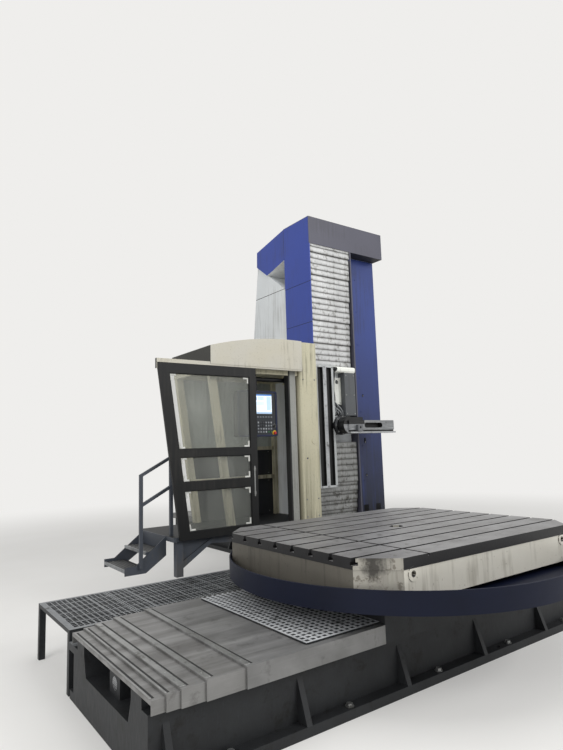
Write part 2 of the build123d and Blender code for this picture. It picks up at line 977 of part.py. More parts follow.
# Side panel: grey face box, the bright rounded lip above it, and beside it a plate with
# cut corners and a round hole
with BuildPart() as head_side_panel:
    block((side_panel_left, column_front, side_panel_low), (head_right, head_front, lip_low))
    block((frame_right, lip_front, lip_low), (head_right, head_front, head_top))
    lip_edges = head_side_panel.edges().filter_by(Axis.X).group_by(Axis.Y)[0]
    fillet(lip_edges, lip_rounding)
    with BuildSketch(Plane.XZ.offset(-head_front)):
        with BuildLine():
            Polyline(
                (face_plate_left, face_plate_low + face_plate_chamfer),
                (face_plate_left + face_plate_chamfer, face_plate_low),
                (side_panel_left, face_plate_low),
                (side_panel_left, face_plate_high),
                (face_plate_left, face_plate_high),
                close=True,
            )
        make_face()
    extrude(amount=face_plate_depth)
    bar_y(
        face_hole_x,
        face_hole_z,
        head_front - face_plate_depth,
        face_hole_depth,
        face_hole_radius,
        mode=Mode.SUBTRACT,
    )
write(head_side_panel.part, "head_side_panel")

# Two bent coolant pipes from the plate's foot to the nose ring
pipe_y = head_front - face_plate_depth / 2
with BuildPart() as coolant_pipes:
    for start_x in pipe_starts:
        end_z = spindle_z + nose_ring_radius - pipe_inset
        with BuildLine() as route:
            FilletPolyline(
                (start_x, pipe_y, face_plate_low),
                (start_x, pipe_y, face_plate_low - pipe_drop),
                (start_x - pipe_shift, nose_ring_front - pipe_bow, end_z),
                (start_x - pipe_shift, nose_ring_front, end_z),
                radius=2 * pipe_radius,
            )
        with BuildSketch(Plane(origin=(start_x, pipe_y, face_plate_low), z_dir=(0, 0, -1))):
            Circle(pipe_radius)
        sweep(path=route.line)
write(coolant_pipes.part, "coolant_pipes")

# Spindle sleeve: stepped barrel with a drive flange at the nose
with BuildPart() as spindle_sleeve:
    with BuildSketch(Plane.YZ):
        with BuildLine():
            Polyline(
                (sleeve_front, spindle_z + spindle_radius + bore_gap),
                (sleeve_front, spindle_z + sleeve_radius - sleeve_step),
                (sleeve_front + sleeve_step, spindle_z + sleeve_radius),
                (sleeve_front + sleeve_flange, spindle_z + sleeve_radius),
                (sleeve_front + sleeve_flange, spindle_z + sleeve_radius - sleeve_step),
                (nose_ring_front, spindle_z + sleeve_radius - sleeve_step),
                (nose_ring_front, spindle_z + sleeve_radius),
                (sleeve_rear, spindle_z + sleeve_radius),
                (sleeve_rear, spindle_z + spindle_radius + bore_gap),
                close=True,
            )
        make_face()
    revolve(axis=Axis((0, 0, spindle_z), (0, 1, 0)))
write(spindle_sleeve.part, "spindle_sleeve")

with BuildPart() as boring_spindle:
    bar_y(0, spindle_z, spindle_front, spindle_rear - spindle_front, spindle_radius)
    spindle_end = boring_spindle.edges().filter_by(GeomType.CIRCLE).sort_by(Axis.Y)[-1]
    chamfer(spindle_end, turn_gap * 10)
write(boring_spindle.part, "boring_spindle")

# Facing arm: hub on the spindle, housing, long bar with a slot and a lower flange
arm_front = arm_back - arm_depth
with BuildPart() as facing_arm:
    block((arm_left, arm_front, arm_low), (arm_right, arm_back, arm_high))
    arm_corners = facing_arm.edges().filter_by(Axis.Y)
    fillet(arm_corners, arm_flange / 2)
    bar_y(0, spindle_z, arm_front + arm_flange, spindle_front - arm_front - arm_flange, hub_radius)
    block(
        (0, arm_front + arm_flange_proud, spindle_z),
        (arm_housing_width, spindle_front, arm_housing_high),
    )
    block(
        (arm_left, arm_front - arm_flange_proud, arm_low),
        (arm_right, arm_back, arm_low + arm_flange),
    )
    with BuildSketch(Plane.XZ.offset(-arm_front)):
        with Locations(((arm_slot[0] + arm_slot[1]) / 2, arm_slot_z)):
            SlotOverall(arm_slot[1] - arm_slot[0], arm_slot_height)
    extrude(amount=-arm_slot_depth, mode=Mode.SUBTRACT)
    # Guide groove for the tool block
    block(
        (arm_left, arm_front, arm_low + arm_flange),
        (arm_right, arm_front + arm_groove_depth, arm_low + arm_flange + arm_groove_width),
        mode=Mode.SUBTRACT,
    )
write(facing_arm.part, "facing_arm")

# Tool block: rides on the lower flange, with a tongue in the groove and a tool hole
block_low = arm_low + arm_flange + slide_gap
with BuildPart() as tool_block:
    block(
        (block_x - block_width / 2, arm_front - block_depth, block_low),
        (block_x + block_width / 2, arm_front - slide_gap, block_low + block_height),
    )
    fillet(tool_block.edges().filter_by(Axis.Y), arm_flange / 3)
    block(
        (block_x - block_width / 2, arm_front - arm_flange / 2, block_low),
        (
            block_x + block_width / 2,
            arm_front + arm_groove_depth - slide_gap,
            arm_low + arm_flange + arm_groove_width - slide_gap,
        ),
    )
    bar_y(
        block_x,
        block_low + block_height * 0.6,
        arm_front - block_depth,
        block_depth,
        block_hole_radius,
        mode=Mode.SUBTRACT,
    )
write(tool_block.part, "tool_block")


# Cabin frame: folded right post, inner post, leaning left posts, rear post, headers,
# ceiling, wall rails and the hinge lugs of the console arm
rear_post_y = cabin_rear - wall_sheet - beam_width
right_post_x = column_left - 2 * post_sheet - beam_width
left_post_foot_x = left_post_top_x + lean * (header_high - cabin_floor_top)
console_x = swing_x - swing_reach
lug_rear = swing_y + swing_radius
with BuildPart() as cabin_frame:
    inner_top = post_top - post_sheet
    for inset, high, mode in ((0, post_top, Mode.ADD), (post_sheet, inner_top, Mode.SUBTRACT)):
        with BuildSketch(Plane.XY.offset(cabin_floor_top)) as post_section:
            with Locations(((post_left + column_left) / 2, cabin_front + inset + post_depth / 2)):
                Rectangle(column_left - post_left - 2 * inset, post_depth)
            corner = post_section.vertices().group_by(Axis.Y)[0].sort_by(Axis.X)[0]
            fillet(corner, post_rounding - inset)
        extrude(amount=high - cabin_floor_top, mode=mode)
    bar_y(post_hole_x, post_hole_z, cabin_front, post_sheet, post_hole_radius, mode=Mode.SUBTRACT)
    bar_y(disc_x, disc_z, cabin_front - disc_proud, disc_proud + post_sheet, disc_radius)
    block(
        (inner_post[0], inner_post_front, cabin_floor_top),
        (inner_post[1], inner_post_front + inner_post_depth, header_high),
    )
    block(
        (right_post_x, rear_post_y, cabin_floor_top),
        (right_post_x + beam_width, rear_post_y + beam_width, header_high),
    )
    for post_y in (inner_post_front, rear_post_y):
        with BuildSketch(Plane.XZ.offset(-post_y)):
            with BuildLine():
                Polyline(
                    (left_post_top_x, header_high),
                    (left_post_top_x + left_post_width, header_high),
                    (left_post_foot_x + left_post_width, cabin_floor_top),
                    (left_post_foot_x, cabin_floor_top),
                    close=True,
                )
            make_face()
        extrude(amount=-beam_width)
    block(
        (left_post_top_x, inner_post_front, header_low),
        (post_left + post_sheet, inner_post_front + beam_width, header_high),
    )
    block(
        (left_post_top_x, rear_post_y, header_low),
        (right_post_x + beam_width, rear_post_y + beam_width, header_high),
    )
    block(
        (left_post_top_x, inner_post_front, header_low),
        (left_post_top_x + beam_width, rear_post_y, header_high),
    )
    block(
        (right_post_x, inner_post_front, header_low),
        (right_post_x + beam_width, rear_post_y, header_high),
    )
    block(
        (left_post_top_x, inner_post_front + beam_width, header_high - wall_sheet),
        (right_post_x, rear_post_y, header_high),
    )
    for level in wall_rail_levels:
        rail_left = left_post_foot_x + left_post_width / 2 - lean * (level - cabin_floor_top)
        block(
            (rail_left, rear_post_y, level),
            (right_post_x, rear_post_y + beam_width, level + wall_rail),
        )
    for lug_low in (swing_z - lug_reach - lug_thickness, swing_z + lug_reach):
        block(
            (swing_x - swing_radius, inner_post_front + inner_post_depth, lug_low),
            (swing_x + swing_radius, lug_rear, lug_low + lug_thickness),
        )
    with Locations((swing_x, swing_y, swing_z)):
        Cylinder(pin_radius + bore_gap, 2 * (lug_reach + lug_thickness), mode=Mode.SUBTRACT)
write(cabin_frame.part, "cabin_frame")


# Cabin roof: arched shell with fascia, open below, notched around the post, with the door rail
roof_right = right_post_x + beam_width
with BuildPart() as cabin_roof:
    with BuildSketch(Plane.XZ.offset(-fascia_front)):
        with BuildLine():
            Polyline(
                (post_left, post_top),
                (roof_right, post_top),
                (roof_right, fascia_low),
                (fascia_left, fascia_low),
                (fascia_left, arch_start_z),
            )
            ThreePointArc(
                (fascia_left, arch_start_z),
                (arch_mid_x, arch_mid_z),
                (post_left, post_top),
            )
        make_face()
    extrude(amount=fascia_front - cabin_rear)
    post_rear = cabin_front + post_depth
    block((post_left, fascia_front, fascia_low), (roof_right, post_rear, post_top), mode=Mode.SUBTRACT)
    with BuildSketch(Plane.XZ.offset(-fascia_front - sheet)):
        with BuildLine():
            Polyline(
                (post_left, post_top),
                (post_left, header_low),
                (fascia_left, header_low),
                (fascia_left, arch_start_z),
            )
            ThreePointArc(
                (fascia_left, arch_start_z),
                (arch_mid_x, arch_mid_z),
                (post_left, post_top),
            )
        make_face()
        offset(amount=-sheet, kind=Kind.INTERSECTION)
    extrude(amount=fascia_front - cabin_rear + 2 * sheet, mode=Mode.SUBTRACT)
    block(
        (post_left - sheet, post_rear + sheet, fascia_low),
        (roof_right - sheet, cabin_rear - sheet, post_top - sheet),
        mode=Mode.SUBTRACT,
    )
    rail_rear = fascia_front + sheet + rail_bar_depth
    block(
        (rail_bar_left, fascia_front + sheet, rail_bar_low),
        (post_left, rail_rear, rail_bar_high),
    )
    block(
        (rail_bar_left, fascia_front + sheet, rail_bar_low - rail_box),
        (rail_bar_left + sheet, rail_rear, rail_bar_low),
    )
    groove_y = door_front + door_depth / 2
    block(
        (rail_bar_left + sheet, groove_y - rail_groove / 2, rail_bar_low),
        (post_left, groove_y + rail_groove / 2, rail_bar_low + rail_groove_depth),
        mode=Mode.SUBTRACT,
    )
write(cabin_roof.part, "cabin_roof")

with BuildPart() as cabin_wall:
    with BuildSketch(Plane.XZ.offset(-cabin_rear)):
        with BuildLine():
            Polyline(
                (left_post_top_x, fascia_low),
                (roof_right, fascia_low),
                (roof_right, cabin_floor_top),
                (left_post_foot_x, cabin_floor_top),
                close=True,
            )
        make_face()
    extrude(amount=wall_sheet)
write(cabin_wall.part, "cabin_wall")

# Cabin floor: platform on two tapered beams, with the braced bracket at its left end
sled_left = z_bed_x - cover_width / 2
bracket_right = platform_left + bracket_leg / 2 + bracket_leg
with BuildPart() as cabin_floor:
    block((platform_left, cabin_front, sled_top), (column_left, cabin_rear, cabin_floor_top))
    for beam_y in (inner_post_front, rear_post_y - beam_width):
        with BuildSketch(Plane.XZ.offset(-beam_y)):
            with BuildLine():
                Polyline(
                    (sled_left, sled_top),
                    (sled_left, platform_beam_low),
                    (platform_beam_left, sled_top - beam_width),
                    (platform_beam_left, sled_top),
                    close=True,
                )
            make_face()
        extrude(amount=-beam_width)
    block(
        (bracket_right - bracket_leg, cabin_front + bracket_plate, bracket_low),
        (bracket_right, cabin_front + bracket_plate + bracket_leg, sled_top),
    )
    with BuildSketch(Plane.XZ.offset(-cabin_front - bracket_plate - bracket_leg / 2)):
        with BuildLine():
            Polyline(
                (bracket_right, bracket_low + bracket_leg),
                (bracket_right + bracket_reach, sled_top),
                (bracket_right + bracket_reach - bracket_leg, sled_top),
                (bracket_right, bracket_low + 2 * bracket_leg),
                close=True,
            )
        make_face()
    extrude(amount=bracket_plate, both=True)
    with BuildSketch(Plane.XZ.offset(-cabin_front - bracket_plate - bracket_leg / 2)):
        with BuildLine():
            Polyline(
                (bracket_right, bracket_low + bracket_leg),
                (bracket_right + bracket_reach, sled_top),
                (bracket_right, sled_top),
                close=True,
            )
        make_face()
    extrude(amount=bracket_plate / 4, both=True)
write(cabin_floor.part, "cabin_floor")

# Steps: riser plate on the platform, two stringers, two treads, handrail in front
step_rear = step_front + step_width
step_low = platform_left - 2 * step_run
with BuildPart() as steps:
    block(
        (platform_left - stringer_plate, step_front, step_heights[0] - step_plate),
        (platform_left, step_rear, cabin_floor_top),
    )
    for i in range(2):
        block(
            (platform_left - (i + 1) * step_run, step_front, step_heights[i] - step_plate),
            (platform_left - i * step_run, step_rear, step_heights[i]),
        )
    for stringer_y in (step_front, step_rear + stringer_plate):
        with BuildSketch(Plane.XZ.offset(-stringer_y)):
            with BuildLine():
                Polyline(
                    (platform_left, cabin_floor_top),
                    (platform_left, step_heights[0] - 2 * step_plate),
                    (step_low + step_run, step_heights[1] - 2 * step_plate),
                    (step_low, step_heights[1] - 2 * step_plate),
                    (step_low, step_heights[1] + step_plate),
                    (step_low + step_run / 2, step_heights[1] + step_plate),
                    close=True,
                )
            make_face()
        extrude(amount=stringer_plate)
    rail_front = step_front - stringer_plate - handrail_section
    handrail_post_x = step_low + step_run * 0.65
    corner_post_x = platform_left + handrail_section
    block(
        (handrail_post_x, rail_front, step_heights[1]),
        (handrail_post_x + handrail_section, rail_front + handrail_section, handrail_post_top),
    )
    block(
        (corner_post_x, rail_front, cabin_floor_top),
        (corner_post_x + handrail_section, rail_front + handrail_section, handrail_top),
    )
    for drop in (0, handrail_mid_drop):
        with BuildSketch(Plane.XZ.offset(-rail_front)):
            with BuildLine():
                Polyline(
                    (handrail_post_x, handrail_post_top - drop - handrail_section),
                    (handrail_post_x, handrail_post_top - drop),
                    (corner_post_x + handrail_section, handrail_top - drop),
                    (corner_post_x + handrail_section, handrail_top - drop - handrail_section),
                    close=True,
                )
            make_face()
        extrude(amount=-handrail_section)
write(steps.part, "steps")


# Outline between two levels of the door, whose left side leans
def door_span(low, high, left_inset, right_inset):
    slope = (door_bottom_left - door_top_left) / (door_bars[-1][1] - door_bars[0][0])
    left_high = door_top_left + slope * (door_bars[-1][1] - high) + left_inset
    left_low = door_top_left + slope * (door_bars[-1][1] - low) + left_inset
    with BuildSketch() as span:
        with BuildLine():
            Polyline(
                (left_low, low),
                (left_high, high),
                (door_right - right_inset, high),
                (door_right - right_inset, low),
                close=True,
            )
        make_face()
    return span.sketch


# Sliding door: frame with three windows, a rebate for the pane behind, a tongue in the rail
door_low = door_bars[0][0]
door_high = door_bars[-1][1]
pane_low = door_bars[0][1] - pane_seat
pane_high = door_bars[-1][0] + pane_seat
with BuildPart() as cabin_door:
    with BuildSketch(Plane.XZ.offset(-door_front)):
        add(door_span(door_low, door_high, 0, 0))
    extrude(amount=-door_depth)
    for below, above in zip(door_bars, door_bars[1:]):
        with BuildSketch(Plane.XZ.offset(-door_front)):
            add(door_span(below[1], above[0], stile_left, stile_right))
        extrude(amount=-door_depth, mode=Mode.SUBTRACT)
    with BuildSketch(Plane.XZ.offset(-door_front - door_depth)):
        add(door_span(pane_low, pane_high, stile_left - pane_seat, stile_right - pane_seat))
    extrude(amount=pane_rebate, mode=Mode.SUBTRACT)
    block(
        (door_top_left + stile_left, groove_y - rail_groove / 2 + slide_gap, door_high),
        (door_right, groove_y + rail_groove / 2 - slide_gap, rail_bar_low + rail_groove_depth / 2),
    )
write(cabin_door.part, "cabin_door")

with BuildPart() as door_pane:
    with BuildSketch(Plane.XZ.offset(pane_rebate - door_front - door_depth)):
        add(door_span(pane_low, pane_high, stile_left - pane_seat, stile_right - pane_seat))
    extrude(amount=-pane_thickness)
write(door_pane.part, "door_pane")

# Console arm: hinge barrel with its pin, horizontal tube, drop tube with a swivel spigot
console_top = console_low + console_height
with BuildPart() as console_arm:
    with Locations((swing_x, swing_y, swing_z)):
        Cylinder(swing_radius, 2 * (lug_reach - slide_gap))
        Cylinder(pin_radius, 2 * (lug_reach + lug_thickness))
    with Locations(Location(((swing_x + console_x) / 2, swing_y, swing_z), (0, 90, 0))):
        Cylinder(swing_radius, swing_reach)
    with Locations((console_x, swing_y, swing_z)):
        Sphere(swing_radius)
    with Locations((console_x, swing_y, (swing_z + console_top + slide_gap) / 2)):
        Cylinder(swing_radius, swing_z - console_top - slide_gap)
    with Locations((console_x, swing_y, console_top - swivel_depth / 2 + slide_gap)):
        Cylinder(pin_radius, swivel_depth)
write(console_arm.part, "console_arm")

# Console: rounded box with a screen recess, a field of keys, bores for the stop and the knob
console_face = swing_y - console_depth / 2
face_plane = Plane.XZ.offset(-console_face)
with BuildPart() as console:
    with BuildSketch(face_plane):
        with Locations((console_x, console_low + console_height / 2)):
            RectangleRounded(console_width, console_height, console_rounding)
    extrude(amount=-console_depth)
    with BuildSketch(face_plane):
        with Locations((console_x + screen_x, screen_z)):
            RectangleRounded(screen_width, screen_height, screen_recess)
    extrude(amount=-screen_recess, mode=Mode.SUBTRACT)
    with BuildSketch(face_plane):
        with Locations((console_x + screen_x, key_low + key_rows * key_pitch / 2)):
            with GridLocations(key_pitch, key_pitch, key_columns, key_rows):
                Rectangle(key_size, key_size)
    extrude(amount=key_proud)
    for bore_x, bore_z in ((stop_x, stop_z), (knob_x, knob_z)):
        bar_y(
            console_x + bore_x,
            bore_z,
            console_face,
            stop_bore_depth,
            stem_radius + bore_gap,
            mode=Mode.SUBTRACT,
        )
    with Locations((console_x, swing_y, console_top - swivel_depth / 2)):
        Cylinder(pin_radius + bore_gap, swivel_depth, mode=Mode.SUBTRACT)
write(console.part, "console")

with BuildPart() as emergency_stop:
    stop_face = console_face - stop_travel - slide_gap
    bar_y(console_x + stop_x, stop_z, stop_face - stop_height, stop_height, stop_radius)
    stop_edge = emergency_stop.edges().filter_by(GeomType.CIRCLE).sort_by(Axis.Y)[0]
    fillet(stop_edge, stop_height / 2)
    bar_y(console_x + stop_x, stop_z, stop_face, stop_bore_depth, stem_radius)
write(emergency_stop.part, "emergency_stop")

with BuildPart() as feed_knob:
    bar_y(
        console_x + knob_x,
        knob_z,
        console_face - slide_gap - knob_height,
        knob_height,
        knob_radius,
    )
    pointer_y = console_face - slide_gap - knob_height
    with Locations((console_x + knob_x, pointer_y, knob_z + knob_radius / 2)):
        Box(knob_pointer, knob_pointer, knob_radius)
    bar_y(console_x + knob_x, knob_z, console_face - slide_gap, stop_bore_depth, stem_radius)
write(feed_knob.part, "feed_knob")

# Bar grating beside the X bed, on legs
grating_length = grating_right + x_bed_end
grating_middle_x = (grating_right - x_bed_end) / 2
grating_middle_y = (grating_front + grating_rear) / 2
cell_pitch_x = (grating_length - 2 * grating_border + grating_bar) / grating_count_x
cell_pitch_y = (grating_rear - grating_front - 2 * grating_border + grating_bar) / grating_count_y
grating_low = grating_top - grating_depth
with BuildPart() as walkway_grating:
    with BuildSketch(Plane.XY.offset(grating_low)):
        with Locations((grating_middle_x, grating_middle_y)):
            Rectangle(grating_length, grating_rear - grating_front)
            with GridLocations(cell_pitch_x, cell_pitch_y, grating_count_x, grating_count_y):
                Rectangle(cell_pitch_x - grating_bar, cell_pitch_y - grating_bar, mode=Mode.SUBTRACT)
    extrude(amount=grating_depth)
    leg_span_x = grating_length - grating_leg
    leg_span_y = grating_rear - grating_front - grating_leg
    with Locations((grating_middle_x, grating_middle_y, grating_low / 2)):
        with GridLocations(leg_span_x / grating_leg_gaps, leg_span_y, grating_leg_gaps + 1, 2):
            Box(grating_leg, grating_leg, grating_low)
    # Ties from the front legs to the bed's side, under the shoulder's level
    tie_length = grating_front - bed_width / 2
    tie_y = bed_width / 2 + tie_length / 2
    with Locations((grating_middle_x, tie_y, bed_shoulder - grating_leg / 2)):
        with GridLocations(leg_span_x / grating_leg_gaps, 0, grating_leg_gaps + 1, 1):
            Box(grating_leg, tie_length, grating_leg)
write(walkway_grating.part, "walkway_grating")
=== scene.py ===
import json
import math
import bmesh
import bpy
from mathutils import Matrix, Vector


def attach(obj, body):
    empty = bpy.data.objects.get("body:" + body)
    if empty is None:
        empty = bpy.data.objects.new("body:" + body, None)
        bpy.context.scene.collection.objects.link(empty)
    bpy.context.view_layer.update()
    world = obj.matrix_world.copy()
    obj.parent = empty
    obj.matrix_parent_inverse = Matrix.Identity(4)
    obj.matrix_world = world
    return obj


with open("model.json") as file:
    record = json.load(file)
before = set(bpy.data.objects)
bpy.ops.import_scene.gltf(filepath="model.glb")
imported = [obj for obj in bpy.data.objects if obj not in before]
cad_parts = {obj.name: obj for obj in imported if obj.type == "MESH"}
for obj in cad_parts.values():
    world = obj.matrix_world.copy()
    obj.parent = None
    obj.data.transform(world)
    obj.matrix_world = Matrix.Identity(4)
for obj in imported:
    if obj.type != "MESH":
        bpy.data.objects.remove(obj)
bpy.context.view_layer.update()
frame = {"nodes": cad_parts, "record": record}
nodes = frame["nodes"]
print("frame loaded,", len(nodes), "nodes")


# camera, floor, light
photoCamera = {
    "place": (-5.26, -3.57, 1.72),
    "right": (0.81082, -0.58445, -0.03081),
    "up": (-0.04913, -0.12043, 0.99144),
    "forward": (0.58318, 0.80241, 0.12637),
    "lens": 26.81,
}


def addCamera(look):
    camera = bpy.data.objects.new("photoCamera", bpy.data.cameras.new("photoCamera"))
    bpy.context.collection.objects.link(camera)
    back = -Vector(look["forward"])
    turn = Matrix((look["right"], look["up"], back)).transposed().to_4x4()
    camera.matrix_world = Matrix.Translation(look["place"]) @ turn
    camera.data.lens = look["lens"]
    camera.data.clip_start, camera.data.clip_end = 0.05, 300
    bpy.context.scene.camera = camera


addCamera(photoCamera)
bpy.context.scene.view_settings.view_transform = "Standard"


def tone(hexText):  # an sRGB hex colour as linear RGBA
    parts = [int(hexText[i:i + 2], 16) / 255 for i in (1, 3, 5)]
    return tuple(p / 12.92 if p <= 0.04045 else ((p + 0.055) / 1.055) ** 2.4 for p in parts) + (1.0,)


def addNode(tree, kind, settings=None, **links):  # i0, i6 ... stand for a socket's number
    node = tree.nodes.new(kind)
    for name, value in (settings or {}).items():
        if name == "stops":
            ramp = node.color_ramp
            while len(ramp.elements) < len(value):
                ramp.elements.new(0.5)
            for element, (place, colour) in zip(ramp.elements, value):
                element.position = place
                element.color = tone(colour) if isinstance(colour, str) else (colour,) * 3 + (1,)
        else:
            setattr(node, name, value)
    for name, value in links.items():
        socket = node.inputs[int(name[1:])] if name[1:].isdigit() else node.inputs[name.replace("_", " ")]
        if isinstance(value, bpy.types.NodeSocket):
            tree.links.new(value, socket)
        else:
            socket.default_value = value
    return node


def newMaterial(name, **sockets):  # an empty material with one Principled shader
    material = bpy.data.materials.new(name)
    material.use_nodes = True
    tree = material.node_tree
    tree.nodes.clear()
    shader = addNode(tree, "ShaderNodeBsdfPrincipled", None, **sockets)
    addNode(tree, "ShaderNodeOutputMaterial", None, Surface=shader.outputs[0])
    return material, tree, shader


studio = {
    "floor": "#eeedea",
    "background": "#efeeec",
    "ambient": 0.46,
    "floorReach": 90.0,
    "fade": (5.0, 13.0, 0.3),
    "middle": (0.0, 2.6, 0.0),
    "lamps": {
        "keyLamp": {"place": (3.5, -9.0, 7.5), "aim": (-0.6, 1.2, 1.6), "size": 5.0, "watts": 620},
        "fillLamp": {"place": (-10.5, -2.5, 5.5), "aim": (-0.8, 1.6, 1.6), "size": 6.0, "watts": 340},
        "topLamp": {"place": (-1.5, 0.0, 9.5), "aim": (-1.0, 0.6, 0.9), "size": 6.0, "watts": 260},
    },
}


def addStudio(look):
    world = bpy.data.worlds.new("studioWorld")
    bpy.context.scene.world = world
    world.use_nodes = True
    tree = world.node_tree
    tree.nodes.clear()
    path = addNode(tree, "ShaderNodeLightPath")
    seen = addNode(tree, "ShaderNodeMath", {"operation": "MAXIMUM"}, i0=path.outputs["Is Camera Ray"],
                   i1=path.outputs["Is Glossy Ray"])
    seen = addNode(tree, "ShaderNodeMath", {"operation": "MAXIMUM"}, i0=seen.outputs[0],
                   i1=path.outputs["Is Transmission Ray"])
    light = addNode(tree, "ShaderNodeBackground", None, Color=tone("#ffffff"), Strength=look["ambient"])
    shown = addNode(tree, "ShaderNodeBackground", None, Color=tone(look["background"]), Strength=1.0)
    mixed = addNode(tree, "ShaderNodeMixShader", None, i0=seen.outputs[0], i1=light.outputs[0], i2=shown.outputs[0])
    addNode(tree, "ShaderNodeOutputWorld", None, Surface=mixed.outputs[0])
    for name, lamp in look["lamps"].items():
        area = bpy.data.lights.new(name, "AREA")
        area.size, area.energy = lamp["size"], lamp["watts"]
        holder = bpy.data.objects.new(name, area)
        bpy.context.collection.objects.link(holder)
        holder.location = lamp["place"]
        aim = Vector(lamp["aim"]) - Vector(lamp["place"])
        holder.rotation_mode = "QUATERNION"
        holder.rotation_quaternion = aim.to_track_quat("-Z", "Y")
    # sealed concrete, floated smooth: faint clouds and a dull sheen, lost in the pale background far out
    material, tree, shader = newMaterial("sealedConcrete", Roughness=0.8, Specular_IOR_Level=0.2)
    place = addNode(tree, "ShaderNodeTexCoord").outputs["Object"]
    cloud = addNode(tree, "ShaderNodeTexNoise", None, Vector=place, Scale=0.9, Detail=5.0)
    ramp = addNode(tree, "ShaderNodeValToRGB", {"stops": [(0.3, look["floor"]), (0.7, "#e9e8e4")]},
                   Fac=cloud.outputs[0])
    tree.links.new(ramp.outputs[0], shader.inputs["Base Color"])
    far = addNode(tree, "ShaderNodeVectorMath", {"operation": "DISTANCE"}, i0=place, i1=look["middle"])
    far = addNode(tree, "ShaderNodeMapRange", {"interpolation_type": "SMOOTHSTEP"}, Value=far.outputs["Value"],
                  From_Min=look["fade"][0], From_Max=look["fade"][1], To_Min=look["fade"][2])
    path = addNode(tree, "ShaderNodeLightPath")
    seen = addNode(tree, "ShaderNodeMath", {"operation": "MAXIMUM"}, i0=path.outputs["Is Camera Ray"],
                   i1=path.outputs["Is Glossy Ray"])
    seen = addNode(tree, "ShaderNodeMath", {"operation": "MAXIMUM"}, i0=seen.outputs[0],
                   i1=path.outputs["Is Transmission Ray"])
    seen = addNode(tree, "ShaderNodeMath", {"operation": "MULTIPLY"}, i0=seen.outputs[0], i1=far.outputs[0])
    pale = addNode(tree, "ShaderNodeEmission", None, Color=tone(look["background"]), Strength=1.0)
    blend = addNode(tree, "ShaderNodeMixShader", None, i0=seen.outputs[0], i1=shader.outputs[0], i2=pale.outputs[0])
    out = next(n for n in tree.nodes if n.bl_idname == "ShaderNodeOutputMaterial")
    tree.links.new(blend.outputs[0], out.inputs["Surface"])
    mesh = bmesh.new()
    bmesh.ops.create_circle(mesh, cap_ends=True, segments=96, radius=look["floorReach"])
    floor = keepMesh(mesh, "studioFloor", material)
    floor.data.transform(Matrix.Translation((0, 0, -0.002)))


def keepMesh(mesh, name, material=None, body=None):  # a bmesh becomes a piece on its body
    data = bpy.data.meshes.new(name)
    mesh.to_mesh(data)
    mesh.free()
    piece = bpy.data.objects.new(name, data)
    bpy.context.collection.objects.link(piece)
    if material:
        data.materials.append(material)
    if body:
        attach(piece, body)
    return piece


addStudio(studio)
print("camera, floor and lamps set")


